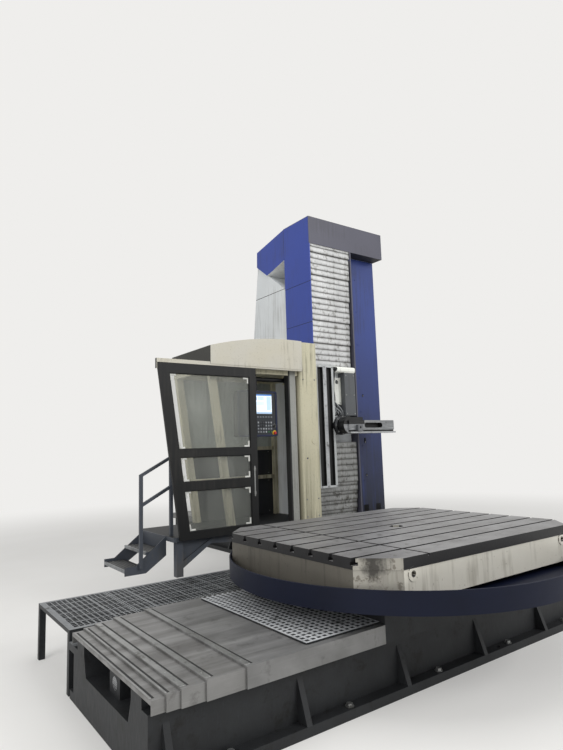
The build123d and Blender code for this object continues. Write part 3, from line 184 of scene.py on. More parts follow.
# how each coat or metal looks: colour, roughness and height, worked out from real sizes
def paintLook(tree, place, look):
    cloud = addNode(tree, "ShaderNodeTexNoise", None, Vector=place, Scale=look.get("cloud", 3.0), Detail=4.0)
    coat = addNode(tree, "ShaderNodeMix", {"data_type": "RGBA"}, i0=cloud.outputs[0], i6=tone(look["colour"]),
                   i7=tone(look["faded"]))
    # oil and coolant run down in thin threads: noise drawn out along Z
    thread = addNode(tree, "ShaderNodeMapping", None, Vector=place, Scale=(1.0, 1.0, 0.045))
    run = addNode(tree, "ShaderNodeTexNoise", None, Vector=thread.outputs[0], Scale=look.get("runs", 26.0),
                  Detail=5.0, Roughness=0.62)
    spread = addNode(tree, "ShaderNodeTexNoise", None, Vector=place, Scale=look.get("patch", 1.7), Detail=3.0)
    both = addNode(tree, "ShaderNodeMath", {"operation": "MULTIPLY"}, i0=run.outputs[0], i1=spread.outputs[0])
    runs = addNode(tree, "ShaderNodeMapRange", None, Value=both.outputs[0], From_Min=look.get("runFrom", 0.27),
                   From_Max=look.get("runFrom", 0.27) + 0.12, To_Max=look.get("runDepth", 0.5))
    dirty = addNode(tree, "ShaderNodeMix", {"data_type": "RGBA"}, i0=runs.outputs[0], i6=coat.outputs[2],
                    i7=tone(look["grime"]))
    # dust, splashes and chips a few mm wide
    speck = addNode(tree, "ShaderNodeTexNoise", None, Vector=place, Scale=look.get("specks", 60.0), Detail=4.0,
                    Roughness=0.7)
    specks = addNode(tree, "ShaderNodeMapRange", None, Value=speck.outputs[0], From_Min=look.get("speckFrom", 0.6),
                     From_Max=look.get("speckFrom", 0.6) + 0.06, To_Max=look.get("speckDepth", 0.5))
    spotted = addNode(tree, "ShaderNodeMix", {"data_type": "RGBA"}, i0=specks.outputs[0], i6=dirty.outputs[2],
                      i7=tone(look.get("chip", look["grime"])))
    colour = spotted.outputs[2]
    if "low" in look:  # grime gathers towards the foot
        height = addNode(tree, "ShaderNodeSeparateXYZ", None, i0=place).outputs[2]
        foot = addNode(tree, "ShaderNodeMapRange", None, Value=height, From_Min=look["low"][0],
                       From_Max=look["low"][1], To_Min=look["low"][2], To_Max=0.0)
        rough = addNode(tree, "ShaderNodeTexNoise", None, Vector=thread.outputs[0], Scale=11.0, Detail=6.0,
                        Roughness=0.7)
        spread = look.get("lowSpread", (0.38, 0.62))
        mask = addNode(tree, "ShaderNodeMapRange", None, Value=rough.outputs[0], From_Min=spread[0],
                       From_Max=spread[1])
        foot = addNode(tree, "ShaderNodeMath", {"operation": "MULTIPLY"}, i0=foot.outputs[0], i1=mask.outputs[0])
        sunk = addNode(tree, "ShaderNodeMix", {"data_type": "RGBA"}, i0=foot.outputs[0], i6=colour,
                       i7=tone(look["grime"]))
        colour = sunk.outputs[2]
    if "blot" in look:  # one oil stain that ran down from an edge
        *spot, reach = look["blot"]
        away = addNode(tree, "ShaderNodeVectorMath", {"operation": "SUBTRACT"}, i0=place, i1=spot)
        away = addNode(tree, "ShaderNodeVectorMath", {"operation": "MULTIPLY"}, i0=away.outputs[0], i1=(1, 1, 0.5))
        away = addNode(tree, "ShaderNodeVectorMath", {"operation": "LENGTH"}, i0=away.outputs[0])
        ragged = addNode(tree, "ShaderNodeTexNoise", None, Vector=place, Scale=13.0, Detail=6.0, Roughness=0.65)
        away = addNode(tree, "ShaderNodeMath", {"operation": "MULTIPLY_ADD"}, i0=ragged.outputs[0], i1=0.16,
                       i2=away.outputs["Value"])
        wet = addNode(tree, "ShaderNodeMapRange", None, Value=away.outputs[0], From_Min=reach + 0.08,
                      From_Max=reach + 0.03, To_Max=0.9)
        blotted = addNode(tree, "ShaderNodeMix", {"data_type": "RGBA"}, i0=wet.outputs[0], i6=colour,
                          i7=tone(look["grime"]))
        colour = blotted.outputs[2]
    gloss = addNode(tree, "ShaderNodeMapRange", None, Value=speck.outputs[0], To_Min=look["rough"] - 0.08,
                    To_Max=look["rough"] + 0.14)
    peel = addNode(tree, "ShaderNodeTexNoise", None, Vector=place, Scale=260.0, Detail=2.0)
    return {"colour": colour, "rough": gloss.outputs[0], "height": peel.outputs[0], "metallic": 0.0}


def steelLook(tree, place, look):
    cloud = addNode(tree, "ShaderNodeTexNoise", None, Vector=place, Scale=look.get("cloud", 4.0), Detail=6.0,
                    Roughness=0.65)
    spread = addNode(tree, "ShaderNodeMapRange", None, Value=cloud.outputs[0], From_Min=0.3, From_Max=0.7)
    base = addNode(tree, "ShaderNodeMix", {"data_type": "RGBA"}, i0=spread.outputs[0], i6=tone(look["colour"]),
                   i7=tone(look["dull"]))
    # cutter and wiper marks: noise drawn out along the way the tool or cover went
    lay = addNode(tree, "ShaderNodeMapping", None, Vector=place, Scale=look["lay"])
    mark = addNode(tree, "ShaderNodeTexNoise", None, Vector=lay.outputs[0], Scale=look.get("marks", 120.0),
                   Detail=4.0, Roughness=0.7)
    marks = addNode(tree, "ShaderNodeMapRange", None, Value=mark.outputs[0], From_Min=0.52, From_Max=0.72,
                    To_Max=look.get("markDepth", 0.5))
    scored = addNode(tree, "ShaderNodeMix", {"data_type": "RGBA"}, i0=marks.outputs[0], i6=base.outputs[2],
                     i7=tone(look["bright"]))
    if "wear" in look:  # boots and wipers polish broad bands along the travel
        *along, depth = look["wear"]
        along = addNode(tree, "ShaderNodeMapping", None, Vector=place, Scale=along)
        band = addNode(tree, "ShaderNodeTexNoise", None, Vector=along.outputs[0], Scale=1.0, Detail=5.0,
                       Roughness=0.6, Distortion=0.3)
        bands = addNode(tree, "ShaderNodeMapRange", None, Value=band.outputs[0], From_Min=0.4, From_Max=0.66,
                        To_Max=depth)
        scored = addNode(tree, "ShaderNodeMix", {"data_type": "RGBA"}, i0=bands.outputs[0], i6=scored.outputs[2],
                         i7=tone(look["polish"]))
    stain = addNode(tree, "ShaderNodeTexNoise", None, Vector=place, Scale=look.get("stains", 7.0), Detail=8.0,
                    Roughness=0.72, Distortion=0.4)
    stains = addNode(tree, "ShaderNodeMapRange", None, Value=stain.outputs[0],
                     From_Min=look.get("stainFrom", 0.56), From_Max=look.get("stainFrom", 0.56) + 0.1,
                     To_Max=look.get("stainDepth", 0.7))
    stained = addNode(tree, "ShaderNodeMix", {"data_type": "RGBA"}, i0=stains.outputs[0], i6=scored.outputs[2],
                      i7=tone(look["stain"]))
    colour, height = stained.outputs[2], mark.outputs[0]
    if "rows" in look:  # pressed slats: a painted highlight on each crown and painted shade in the lap, with grime and painted shade gathered in dark lines under it
        start, pitch = look["rows"]
        up = addNode(tree, "ShaderNodeSeparateXYZ", None, i0=place).outputs[2]
        row = addNode(tree, "ShaderNodeMath", {"operation": "MULTIPLY_ADD"}, i0=up, i1=1 / pitch, i2=-start / pitch)
        row = addNode(tree, "ShaderNodeMath", {"operation": "FRACT"}, i0=row.outputs[0])
        # painted highlight and painted shade across each row, standing in for the slat's curve
        shade = addNode(tree, "ShaderNodeValToRGB", {"stops": [
            (0.0, "#4b4a48"), (0.07, "#6b6a67"), (0.15, "#c9c9c8"), (0.4, "#fafafa"), (0.75, "#ffffff"),
            (0.93, "#d0d0cf"), (1.0, "#7c7b78")]}, Fac=row.outputs[0])
        drop = addNode(tree, "ShaderNodeMapping", None, Vector=place, Scale=(1.0, 1.0, 0.3))
        dot = addNode(tree, "ShaderNodeTexNoise", None, Vector=drop.outputs[0], Scale=17.0, Detail=5.0,
                      Roughness=0.65)
        across = addNode(tree, "ShaderNodeSeparateXYZ", None, i0=place).outputs[0]
        wander = addNode(tree, "ShaderNodeMath", {"operation": "MULTIPLY_ADD"}, i0=dot.outputs[0], i1=0.13, i2=across)
        column = addNode(tree, "ShaderNodeMapRange", None, Value=wander.outputs[0], From_Min=-0.34, From_Max=0.41)
        # dark lines under each lap: grime and painted shade together
        lines = addNode(tree, "ShaderNodeValToRGB", {"stops": [
            (0.0, 1.0), (0.045, 0.9), (0.075, 0.0), (0.4, 0.0), (0.425, 0.75), (0.45, 0.0), (0.57, 0.0), (0.6, 1.0),
            (0.63, 0.0), (0.87, 0.0), (0.9, 1.0), (0.94, 0.25)]}, Fac=column.outputs[0])
        edge = addNode(tree, "ShaderNodeMapRange", None, Value=row.outputs[0], From_Min=0.55, From_Max=0.0,
                       To_Min=0.12, To_Max=1.0)
        caught = addNode(tree, "ShaderNodeMath", {"operation": "MULTIPLY"}, i0=lines.outputs[0], i1=edge.outputs[0])
        caught = addNode(tree, "ShaderNodeMath", {"operation": "MULTIPLY"}, i0=caught.outputs[0],
                         i1=look.get("caught", 0.8))
        lit = addNode(tree, "ShaderNodeMix", {"data_type": "RGBA", "blend_type": "MULTIPLY"}, i0=0.85, i6=colour,
                      i7=shade.outputs[0])
        lit = addNode(tree, "ShaderNodeMix", {"data_type": "RGBA"}, i0=caught.outputs[0], i6=lit.outputs[2],
                      i7=tone("#46433c"))
        colour = lit.outputs[2]
    gloss = addNode(tree, "ShaderNodeMapRange", None, Value=mark.outputs[0], From_Min=0.3, From_Max=0.7,
                    To_Min=look["rough"] - 0.1, To_Max=look["rough"] + 0.12)
    return {"colour": colour, "rough": gloss.outputs[0], "height": height, "metallic": look.get("metallic", 0.75)}


def zoneMask(tree, place, zone):  # 1 inside the box, keys x y z, or where the face looks, keys nx ny nz
    normal = addNode(tree, "ShaderNodeTexCoord").outputs["Normal"]
    along = addNode(tree, "ShaderNodeSeparateXYZ", None, i0=place)
    facing = addNode(tree, "ShaderNodeSeparateXYZ", None, i0=normal)
    mask = None
    for key, (low, high) in zone.items():
        value = (facing if key[0] == "n" else along).outputs["xyz".index(key[-1])]
        for operation, limit in (("GREATER_THAN", low), ("LESS_THAN", high)):
            test = addNode(tree, "ShaderNodeMath", {"operation": operation}, i0=value, i1=limit).outputs[0]
            if mask is not None:
                test = addNode(tree, "ShaderNodeMath", {"operation": "MULTIPLY"}, i0=mask, i1=test).outputs[0]
            mask = test
    return mask


def makeFinish(name, make, look, zones=()):  # one coat, and other coats in their own zones
    material, tree, shader = newMaterial(name, Specular_IOR_Level=look.get("shine", 0.5))
    place = addNode(tree, "ShaderNodeTexCoord").outputs["Object"]
    coat = make(tree, place, look)
    for zone, makeZone, lookZone in zones:
        mask = zoneMask(tree, place, zone)
        other = makeZone(tree, place, lookZone)
        for part in ("colour", "rough", "height", "metallic"):
            if part == "metallic" and coat[part] == other[part]:
                continue
            kind, first, second, out = ("RGBA", 6, 7, 2) if part == "colour" else ("FLOAT", 2, 3, 0)
            mixed = addNode(tree, "ShaderNodeMix", {"data_type": kind}, i0=mask,
                            **{"i%d" % first: coat[part], "i%d" % second: other[part]})
            coat[part] = mixed.outputs[out]
    bump = addNode(tree, "ShaderNodeBump", None, Strength=look.get("relief", 0.15), Distance=0.0008,
                   Height=coat["height"])
    for socket, part in (("Base Color", "colour"), ("Roughness", "rough"), ("Metallic", "metallic")):
        if isinstance(coat[part], float):
            shader.inputs[socket].default_value = coat[part]
        else:
            tree.links.new(coat[part], shader.inputs[socket])
    tree.links.new(bump.outputs[0], shader.inputs["Normal"])
    return material


# alkyd enamel, sprayed and rolled: soft gloss, runs of coolant, chips at a few mm
greyEnamel = {"colour": "#e2e6e8", "faded": "#d5d9db", "grime": "#8b8a85", "rough": 0.48, "runDepth": 0.35,
              "speckDepth": 0.2}
# near white for the bridge's underside: painted light on a face in shade, lighter than the casting's own grey
paintedLightUnderside = dict(greyEnamel, colour="#fbfcfd", faded="#f2f4f5")
blueEnamel = {"colour": "#2c459f", "faded": "#2a4092", "grime": "#2d3552", "rough": 0.42, "runDepth": 0.35,
              "speckDepth": 0.2, "low": (0.7, 2.2, 0.6)}
rightBlue = dict(blueEnamel, colour="#2c4085", faded="#293b7a", grime="#131927", runDepth=0.35, low=(0.7, 3.4, 1.0),
                 lowSpread=(0.22, 0.46))
capEnamel = {"colour": "#52525e", "faded": "#494955", "grime": "#343337", "rough": 0.45, "runDepth": 0.35,
             "speckDepth": 0.2}
capShadow = {"colour": "#141416", "faded": "#101012", "grime": "#1f1e1c", "rough": 0.6, "runDepth": 0.3}
creamEnamel = {"colour": "#c9c5ad", "faded": "#bfb99d", "grime": "#544e3c", "rough": 0.5, "runDepth": 0.7,
               "runFrom": 0.29, "speckDepth": 0.45, "low": (0.6, 2.0, 0.8)}
fasciaEnamel = dict(creamEnamel, colour="#c2c0b9", faded="#c1bba6", grime="#6b6552", runDepth=0.45, speckDepth=0.35)
# the roof's −X side, near black: painted shade
roofSideShade = {"colour": "#33332f", "faded": "#2b2b27", "grime": "#1d1c18", "rough": 0.6, "runDepth": 0.5, "shine": 0.35}
# black strip down the inner post's left edge: painted shade of the gap beside it
postGapShade = {"colour": "#0c0d0e", "faded": "#141516", "grime": "#2b2a27", "rough": 0.6}
innerPost = {"colour": "#9d9e99", "faded": "#8b8c87", "grime": "#3f3d36", "rough": 0.5, "runDepth": 0.6}
graphiteEnamel = {"colour": "#0f1011", "faded": "#0b0c0d", "grime": "#35332f", "rough": 0.5, "runDepth": 0.3,
                  "speckDepth": 0.35, "shine": 0.3}
navyEnamel = {"colour": "#060a18", "faded": "#10172e", "grime": "#1b1c22", "rough": 0.46, "runDepth": 0.2,
              "runFrom": 0.33, "speckDepth": 0.25, "specks": 90.0, "shine": 0.2}
slateEnamel = {"colour": "#474c55", "faded": "#3c4149", "grime": "#5d574d", "rough": 0.5, "runDepth": 0.4,
               "speckDepth": 0.45, "shine": 0.4}
treadEnamel = {"colour": "#141618", "faded": "#1b1d20", "grime": "#3d3a35", "rough": 0.6, "runDepth": 0.2,
               "speckDepth": 0.5, "shine": 0.3}
blackPowder = {"colour": "#0f1013", "faded": "#15171a", "grime": "#33312d", "rough": 0.46, "runDepth": 0.25,
               "speckDepth": 0.3, "shine": 0.35}
consoleFace = {"colour": "#282c32", "faded": "#23262b", "grime": "#191817", "rough": 0.45, "runDepth": 0.3,
               "speckDepth": 0.3}
headEnamel = {"colour": "#55585b", "faded": "#4a4d50", "grime": "#2f2e2c", "rough": 0.48, "runDepth": 0.45,
              "speckDepth": 0.35}
frameEnamel = {"colour": "#c0c3c3", "faded": "#a7aaaa", "grime": "#3d3b37", "rough": 0.45, "runDepth": 0.6,
               "speckDepth": 0.5}
plateEnamel = {"colour": "#fafbf4", "faded": "#eef0e8", "grime": "#77746a", "rough": 0.45, "runDepth": 0.35,
               "speckDepth": 0.35}
slotShadow = {"colour": "#050506", "faded": "#0a0b0b", "grime": "#161513", "rough": 0.6, "shine": 0.2}
matRubber = {"colour": "#1c1e20", "faded": "#26282b", "grime": "#55524c", "rough": 0.7, "speckDepth": 0.5,
             "shine": 0.3}
# grey cast iron and steel, milled, ground or rolled: marks follow the cutter or the wiper
tableIron = {"colour": "#7f7e7e", "dull": "#696868", "bright": "#aeadad", "stain": "#45423e", "lay": (0.12, 1.0, 1.0),
             "rough": 0.46, "metallic": 0.4, "marks": 160.0, "markDepth": 0.35, "stains": 11.0, "stainFrom": 0.56,
             "stainDepth": 0.65, "wear": (2.2, 2.6, 2.0, 0.5), "polish": "#9b9b9c"}
tableBand = {"colour": "#161618", "dull": "#111113", "bright": "#29292b", "stain": "#111010", "lay": (1.0, 1.0, 0.3),
             "rough": 0.5, "metallic": 0.1, "markDepth": 0.3, "shine": 0.35}
tablePaint = {"colour": "#e2dfd5", "faded": "#cdc9bc", "grime": "#8a8475", "chip": "#5f5547", "rough": 0.52,
              "runDepth": 0.5, "runFrom": 0.26, "runs": 20.0, "patch": 2.6, "specks": 30.0, "speckFrom": 0.64,
              "speckDepth": 0.5}
# the table's −X end, much darker than its other sides: grime and painted shade
tableEndGrimeAndShade = {"colour": "#66625a", "faded": "#57544c", "grime": "#2c2924", "chip": "#24211c", "rough": 0.6,
            "runDepth": 0.6, "runFrom": 0.25, "runs": 20.0, "specks": 26.0, "speckFrom": 0.62, "speckDepth": 0.4}
tableChamfer = {"colour": "#b6b3aa", "faded": "#8f8b81", "grime": "#25221e", "chip": "#4d4436", "rough": 0.6,
                "runDepth": 0.85, "runFrom": 0.25, "runs": 11.0, "specks": 15.0, "speckFrom": 0.54,
                "speckDepth": 0.6, "blot": (-2.6, -0.87, 0.99, 0.1)}
bedIron = {"colour": "#2b2d2f", "dull": "#212224", "bright": "#404246", "stain": "#151411", "lay": (1.0, 1.0, 0.1),
           "rough": 0.55, "metallic": 0.2, "markDepth": 0.3, "shine": 0.35}
coverSteel = {"colour": "#6f6f6f", "dull": "#5d5d5c", "bright": "#979797", "stain": "#3a3937", "lay": (0.02, 1.0, 1.0),
              "rough": 0.44, "metallic": 0.4, "marks": 170.0, "stains": 5.0, "stainFrom": 0.56, "stainDepth": 0.45,
              "markDepth": 0.26, "wear": (0.7, 8.0, 1.0, 0.55), "polish": "#a2a2a1"}
crossCover = dict(coverSteel, lay=(1.0, 0.04, 1.0), wear=(8.0, 0.7, 1.0, 0.5))
outerCover = dict(coverSteel, colour="#706f6e", dull="#5e5d5b", bright="#a5a5a4", stain="#413f3c")
slatSteel = {"colour": "#cbcccc", "dull": "#b0b1b1", "bright": "#eaeaea", "stain": "#5d594f", "lay": (1.0, 1.0, 0.05),
             "rough": 0.34, "metallic": 0.5, "stainDepth": 0.6, "stains": 11.0, "stainFrom": 0.54, "caught": 1.0}
lowSlatSteel = dict(slatSteel, colour="#989998", dull="#757674", bright="#d8d9d8", stain="#3d3a33", stainDepth=0.85)
toolSteel = {"colour": "#797b7e", "dull": "#5c5e61", "bright": "#a9abad", "stain": "#2e2b26", "lay": (0.08, 1.0, 1.0),
             "rough": 0.34, "metallic": 0.7}
armSteel = dict(toolSteel, colour="#8e9092", dull="#757779", bright="#c9cbcd", metallic=0.45)
# lighter copy of the arm's steel: the arm's lower flange, and a painted highlight along the frame's middle bar
flangeSteelAndHighlight = dict(armSteel, colour="#b4b6b8", dull="#9b9d9f", bright="#d8dadc")
hubSteel = dict(toolSteel, colour="#101113", dull="#0a0b0c", bright="#3c3e40", metallic=0.1, shine=0.4)
sleeveSteel = dict(toolSteel, colour="#38393b", dull="#27282a", bright="#606265", shine=0.35)
screwSteel = {"colour": "#9b9da0", "dull": "#85878a", "bright": "#c6c8ca", "stain": "#4a463e", "lay": (1.0, 0.1, 1.0),
              "rough": 0.28, "metallic": 0.9}
gratingSteel = {"colour": "#2f3133", "dull": "#242527", "bright": "#4c4e50", "stain": "#171614",
                "lay": (1.0, 1.0, 1.0), "rough": 0.52, "metallic": 0.35, "shine": 0.3}
# moulded nylon and ABS: even colour, fine satin grain
pipeNylon = {"colour": "#1a1b1d", "faded": "#222427", "grime": "#4d4a45", "rough": 0.4}
redPolyamide = {"colour": "#c1211d", "faded": "#a81a18", "grime": "#5a1c18", "rough": 0.35, "speckDepth": 0.15,
                "runDepth": 0.1}
blackPolyamide = {"colour": "#17181a", "faded": "#1f2124", "grime": "#4b4a47", "rough": 0.38}
latchBlack = {"colour": "#050607", "faded": "#0a0b0c", "grime": "#15140f", "rough": 0.6, "shine": 0.2}
wallGlass = {"colour": "#b9bfb6", "faded": "#9fa59d", "grime": "#6a6e67", "rough": 0.35, "runDepth": 0.5}
wallPanel = {"colour": "#1d1f21", "faded": "#181a1c", "grime": "#35332f", "rough": 0.5, "runDepth": 0.3, "shine": 0.3}

finishes = {
    "light_grey_paint": makeFinish("castingEnamel", paintLook, greyEnamel),
    "blue_paint": makeFinish("guardEnamelBlue", paintLook, blueEnamel),
    "cap_grey_paint": makeFinish("capEnamelSlate", paintLook, capEnamel, [({"nz": (-2, -0.5)}, paintLook, capShadow)]),
    "cream_paint": makeFinish("cabinEnamelCream", paintLook, creamEnamel),
    "dark_grey_paint": makeFinish("doorEnamelGraphite", paintLook, graphiteEnamel),
    "navy_paint": makeFinish("trayEnamelNavy", paintLook, navyEnamel),
    "slate_paint": makeFinish("railEnamelSlate", paintLook, slateEnamel),
    "black_paint": makeFinish("armPowderBlack", paintLook, blackPowder),
    "panel_grey_paint": makeFinish("headEnamelGrey", paintLook, headEnamel),
    "bed_iron": makeFinish("bedCastIron", steelLook, bedIron),
    "cover_steel": makeFinish("coverSheetSteel", steelLook, coverSteel),
    "machined_steel": makeFinish("groundToolSteel", steelLook, toolSteel),
    "ground_screw": makeFinish("screwGroundSteel", steelLook, screwSteel),
    "mat_grey": makeFinish("matNitrileRubber", paintLook, matRubber),
    "grating_steel": makeFinish("gratingGalvanised", steelLook, gratingSteel),
    "pipe_black": makeFinish("pipeNylonBlack", paintLook, pipeNylon),
    "red_plastic": makeFinish("buttonPolyamideRed", paintLook, redPolyamide),
    "black_plastic": makeFinish("knobPolyamideBlack", paintLook, blackPolyamide),
}


def smokedGlass(name):
    # scratched polycarbonate, oil-misted: a grey haze that still shows what is behind
    material, tree, shader = newMaterial(name, Roughness=0.3, IOR=1.58)
    place = addNode(tree, "ShaderNodeTexCoord").outputs["Object"]
    wiped = addNode(tree, "ShaderNodeMapping", None, Vector=place, Scale=(1.0, 1.0, 0.35))
    haze = addNode(tree, "ShaderNodeTexNoise", None, Vector=wiped.outputs[0], Scale=2.4, Detail=4.0, Roughness=0.55)
    ramp = addNode(tree, "ShaderNodeValToRGB", {"stops": [(0.3, "#8b8e88"), (0.7, "#a3a69f")]}, Fac=haze.outputs[0])
    tree.links.new(ramp.outputs[0], shader.inputs["Base Color"])
    veil = addNode(tree, "ShaderNodeMapRange", None, Value=haze.outputs[0], From_Min=0.3, From_Max=0.7,
                   To_Min=0.14, To_Max=0.32)
    tree.links.new(veil.outputs[0], shader.inputs["Alpha"])
    return material


finishes["smoked_glass"] = smokedGlass("windowPolycarbonate")
tableSide = {"nz": (-0.5, 0.5)}
ownFinishes = {
    "rotary_table": makeFinish("tableIronAndEnamel", steelLook, tableIron, [
        (tableSide, paintLook, tablePaint),
        ({"nz": (-0.5, 0.5), "z": (0.9045, 1.0)}, steelLook, tableBand),
        # the −X end face: grime and painted shade
        ({"nz": (-0.5, 0.5), "nx": (-2, -0.95), "z": (0.6, 0.9045)}, paintLook, tableEndGrimeAndShade),
        ({"nz": (-0.5, 0.5), "nx": (-0.95, -0.2), "ny": (-0.95, -0.2)}, paintLook, tableChamfer)]),
    "head_front_frame": makeFinish("frameEnamel", paintLook, frameEnamel, [
        # painted highlight down the frame's middle bar between the two slots
        ({"x": (-0.285, -0.225), "ny": (-2, -0.9)}, steelLook, flangeSteelAndHighlight),
        ({"y": (2.338, 2.352), "x": (-0.386, -0.1299), "ny": (-2, -0.9)}, paintLook, slotShadow),
        ({"x": (-0.386, -0.284), "nx": (-2, 2), "ny": (-0.5, 0.5), "y": (2.305, 2.352)}, paintLook, slotShadow),
        ({"x": (-0.226, -0.129), "ny": (-0.5, 0.5), "y": (2.305, 2.352)}, paintLook, slotShadow)]),
    "head_side_panel": makeFinish("headPanelEnamel", paintLook, headEnamel, [
        ({"x": (0.0, 0.1401), "y": (2.42, 2.44), "z": (2.28, 2.68)}, paintLook, plateEnamel),
        ({"z": (2.7399, 2.83), "y": (2.30, 2.47)}, paintLook, plateEnamel)]),
    "cabin_roof": makeFinish("roofEnamelCream", paintLook, fasciaEnamel, [
        # painted shade on the faces turned to −X
        ({"nx": (-2, -0.5)}, paintLook, roofSideShade)]),
    "cabin_frame": makeFinish("frameEnamelCream", paintLook, creamEnamel, [
        ({"x": (-0.861, -0.739), "y": (2.339, 2.431)}, paintLook, innerPost),
        # painted shade of the gap at the inner post's left edge
        ({"x": (-0.861, -0.836), "y": (2.339, 2.431)}, paintLook, postGapShade)]),
    "column_right_cover": makeFinish("rightGuardEnamelBlue", paintLook, rightBlue),
    "cabin_wall": makeFinish("wallPanels", paintLook, wallGlass, [
        ({"z": (0.7, 1.72)}, paintLook, wallPanel)]),
    "console": makeFinish("consoleCase", paintLook, blackPowder, [
        ({"ny": (-2, -0.9), "x": (-1.575, -1.005), "z": (1.865, 2.425)}, paintLook, consoleFace)]),
    "spindle_sleeve": makeFinish("sleeveSteel", steelLook, sleeveSteel),
    "facing_arm": makeFinish("armGroundSteel", steelLook, armSteel, [
        ({"z": (1.86, 1.8872)}, steelLook, flangeSteelAndHighlight),
        ({"x": (-0.2, 0.2505), "z": (1.99, 2.2)}, steelLook, hubSteel),
        ({"x": (-0.2, 0.2505), "y": (2.1095, 2.27)}, steelLook, hubSteel),
        ({"x": (0.245, 0.605), "z": (1.938, 2.012), "y": (2.081, 2.2)}, paintLook, slotShadow),
        ({"z": (1.8873, 1.9109), "y": (2.081, 2.0945)}, paintLook, slotShadow)]),
    "top_bridge": makeFinish("bridgeEnamelBlue", paintLook, blueEnamel, [
        # the underside: painted light
        ({"nz": (-2, -0.3)}, paintLook, paintedLightUnderside),
        ({"y": (2.9, 2.936)}, paintLook, slotShadow)]),
    "column_left_cover": makeFinish("leftGuardEnamelBlue", paintLook, blueEnamel, [
        ({"z": (3.4265, 3.4335)}, paintLook, slotShadow), ({"z": (4.0165, 4.0235)}, paintLook, slotShadow)]),
    "column_casting": makeFinish("castingEnamelSeamed", paintLook, greyEnamel, [
        ({"z": (4.056, 4.0645), "nx": (-2, 2)}, paintLook, slotShadow)]),
    "steps": makeFinish("stepEnamel", paintLook, slateEnamel, [({"nz": (0.5, 2), "z": (0.4, 0.66)}, paintLook, treadEnamel)]),
    "cabin_floor": makeFinish("cabinFloorEnamel", paintLook, slateEnamel, [({"nz": (0.5, 2)}, paintLook, treadEnamel)]),
    "walkway_grating": makeFinish("gratingFrameSteel", steelLook, gratingSteel, [
        ({"nz": (0.5, 2)}, steelLook, dict(gratingSteel, colour="#8b8e90", dull="#66696c", bright="#c0c2c4"))]),
}
for level in range(2, 6):
    ownFinishes[f"x_cover_left_{level}"] = makeFinish(f"outerCoverSteel{level}", steelLook, outerCover)
crossSteel = makeFinish("crossCoverSteel", steelLook, crossCover)
ownFinishes.update({name: crossSteel for name in nodes if name.startswith("z_cover")})
upperStart, lowerStart, rowPitch = (2.82, 0.326), (1.19, -0.1225), 0.08  # first row of each slat segment
# each segment's rows take their painted highlight and shade from its first row's height
for run, (first, step), look in (("upper", upperStart, slatSteel), ("lower", lowerStart, lowSlatSteel)):
    for i in range(6 if run == "upper" else 5):
        slatLook = dict(look, rows=(first + i * step, rowPitch))
        ownFinishes[f"{run}_cover_{i + 1}"] = makeFinish(f"{run}Slats{i + 1}", steelLook, slatLook)

for name, node in nodes.items():
    for held in node.material_slots:
        held.material = ownFinishes.get(name) or finishes[held.material.name.split(".")[0]]
print("finishes on every node")

# the body that carries each node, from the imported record
bodyOf = {node: body for body, held in frame["record"]["behaviour"]["bodies"].items() for node in held}


def addBlock(mesh, low, high):  # a block between two corners, with its vertices returned
    size = [h - l for l, h in zip(low, high)]
    middle = [(h + l) / 2 for l, h in zip(low, high)]
    stretch = Matrix.Translation(middle) @ Matrix.Diagonal((*size, 1))
    return bmesh.ops.create_cube(mesh, size=1.0, matrix=stretch)["verts"]


def roundEdges(mesh, width, segments=2, edges=None):
    bmesh.ops.bevel(mesh, geom=list(edges or mesh.edges), offset=width, offset_type="OFFSET", segments=segments,
                    profile=0.5, affect="EDGES", material=-1, clamp_overlap=True)


def addStud(mesh, place, facing, radius, height, sides=16, taper=1.0):  # a round or hexagonal stud on a face
    turn = Vector(facing).to_track_quat("Z", "Y").to_matrix().to_4x4()
    lift = Matrix.Translation(Vector(place)) @ turn @ Matrix.Translation((0, 0, height / 2))
    bmesh.ops.create_cone(mesh, cap_ends=True, segments=sides, radius1=radius, radius2=radius * taper, depth=height,
                          matrix=lift)


def addBolt(mesh, place, facing, size):  # washer, then hexagonal head
    addStud(mesh, place, facing, size * 1.15, size * 0.14)
    top = Vector(place) + Vector(facing) * size * 0.14
    addStud(mesh, top, facing, size * 0.88, size * 0.6, sides=6, taper=0.94)


# screw heads, strips and other small steel: zinc plated, slightly yellowed
zincSteel = {"colour": "#9d9e9d", "dull": "#7c7d7c", "bright": "#cdcecd", "stain": "#3b3831", "lay": (1.0, 1.0, 1.0),
             "rough": 0.38, "metallic": 0.8}
wornBar = {"colour": "#8d9092", "dull": "#5f6265", "bright": "#dfe1e2", "stain": "#34322e", "lay": (1.0, 1.0, 1.0),
           "rough": 0.45, "metallic": 0.3, "stains": 5.0, "stainDepth": 0.7}
wornMatBar = dict(wornBar, colour="#c8cacc", dull="#9c9fa2", bright="#dcdee0", metallic=0.1)
blackRubber = {"colour": "#121314", "faded": "#1a1b1c", "grime": "#4a4741", "rough": 0.75, "specks": 90.0}
whiteNylon = {"colour": "#e4e5e0", "faded": "#d3d4ce", "grime": "#8a877c", "rough": 0.5, "runDepth": 0.3,
              "speckDepth": 0.3}
yellowEnamel = {"colour": "#d9b21c", "faded": "#c6a21b", "grime": "#5c4d1a", "rough": 0.45}
keyPlastic = {"colour": "#8d9196", "faded": "#7d8186", "grime": "#3e3d3a", "rough": 0.5, "specks": 140.0}
zinc = makeFinish("zincPlatedSteel", steelLook, zincSteel)
rubber = makeFinish("wiperRubber", paintLook, blackRubber)

gratingFill = {"x": (-4.02, -0.52), "y": (0.82, 1.68), "barPitch": 0.0415, "bar": 0.009, "rodPitch": 0.0415,
               "low": 0.424, "top": 0.4496}


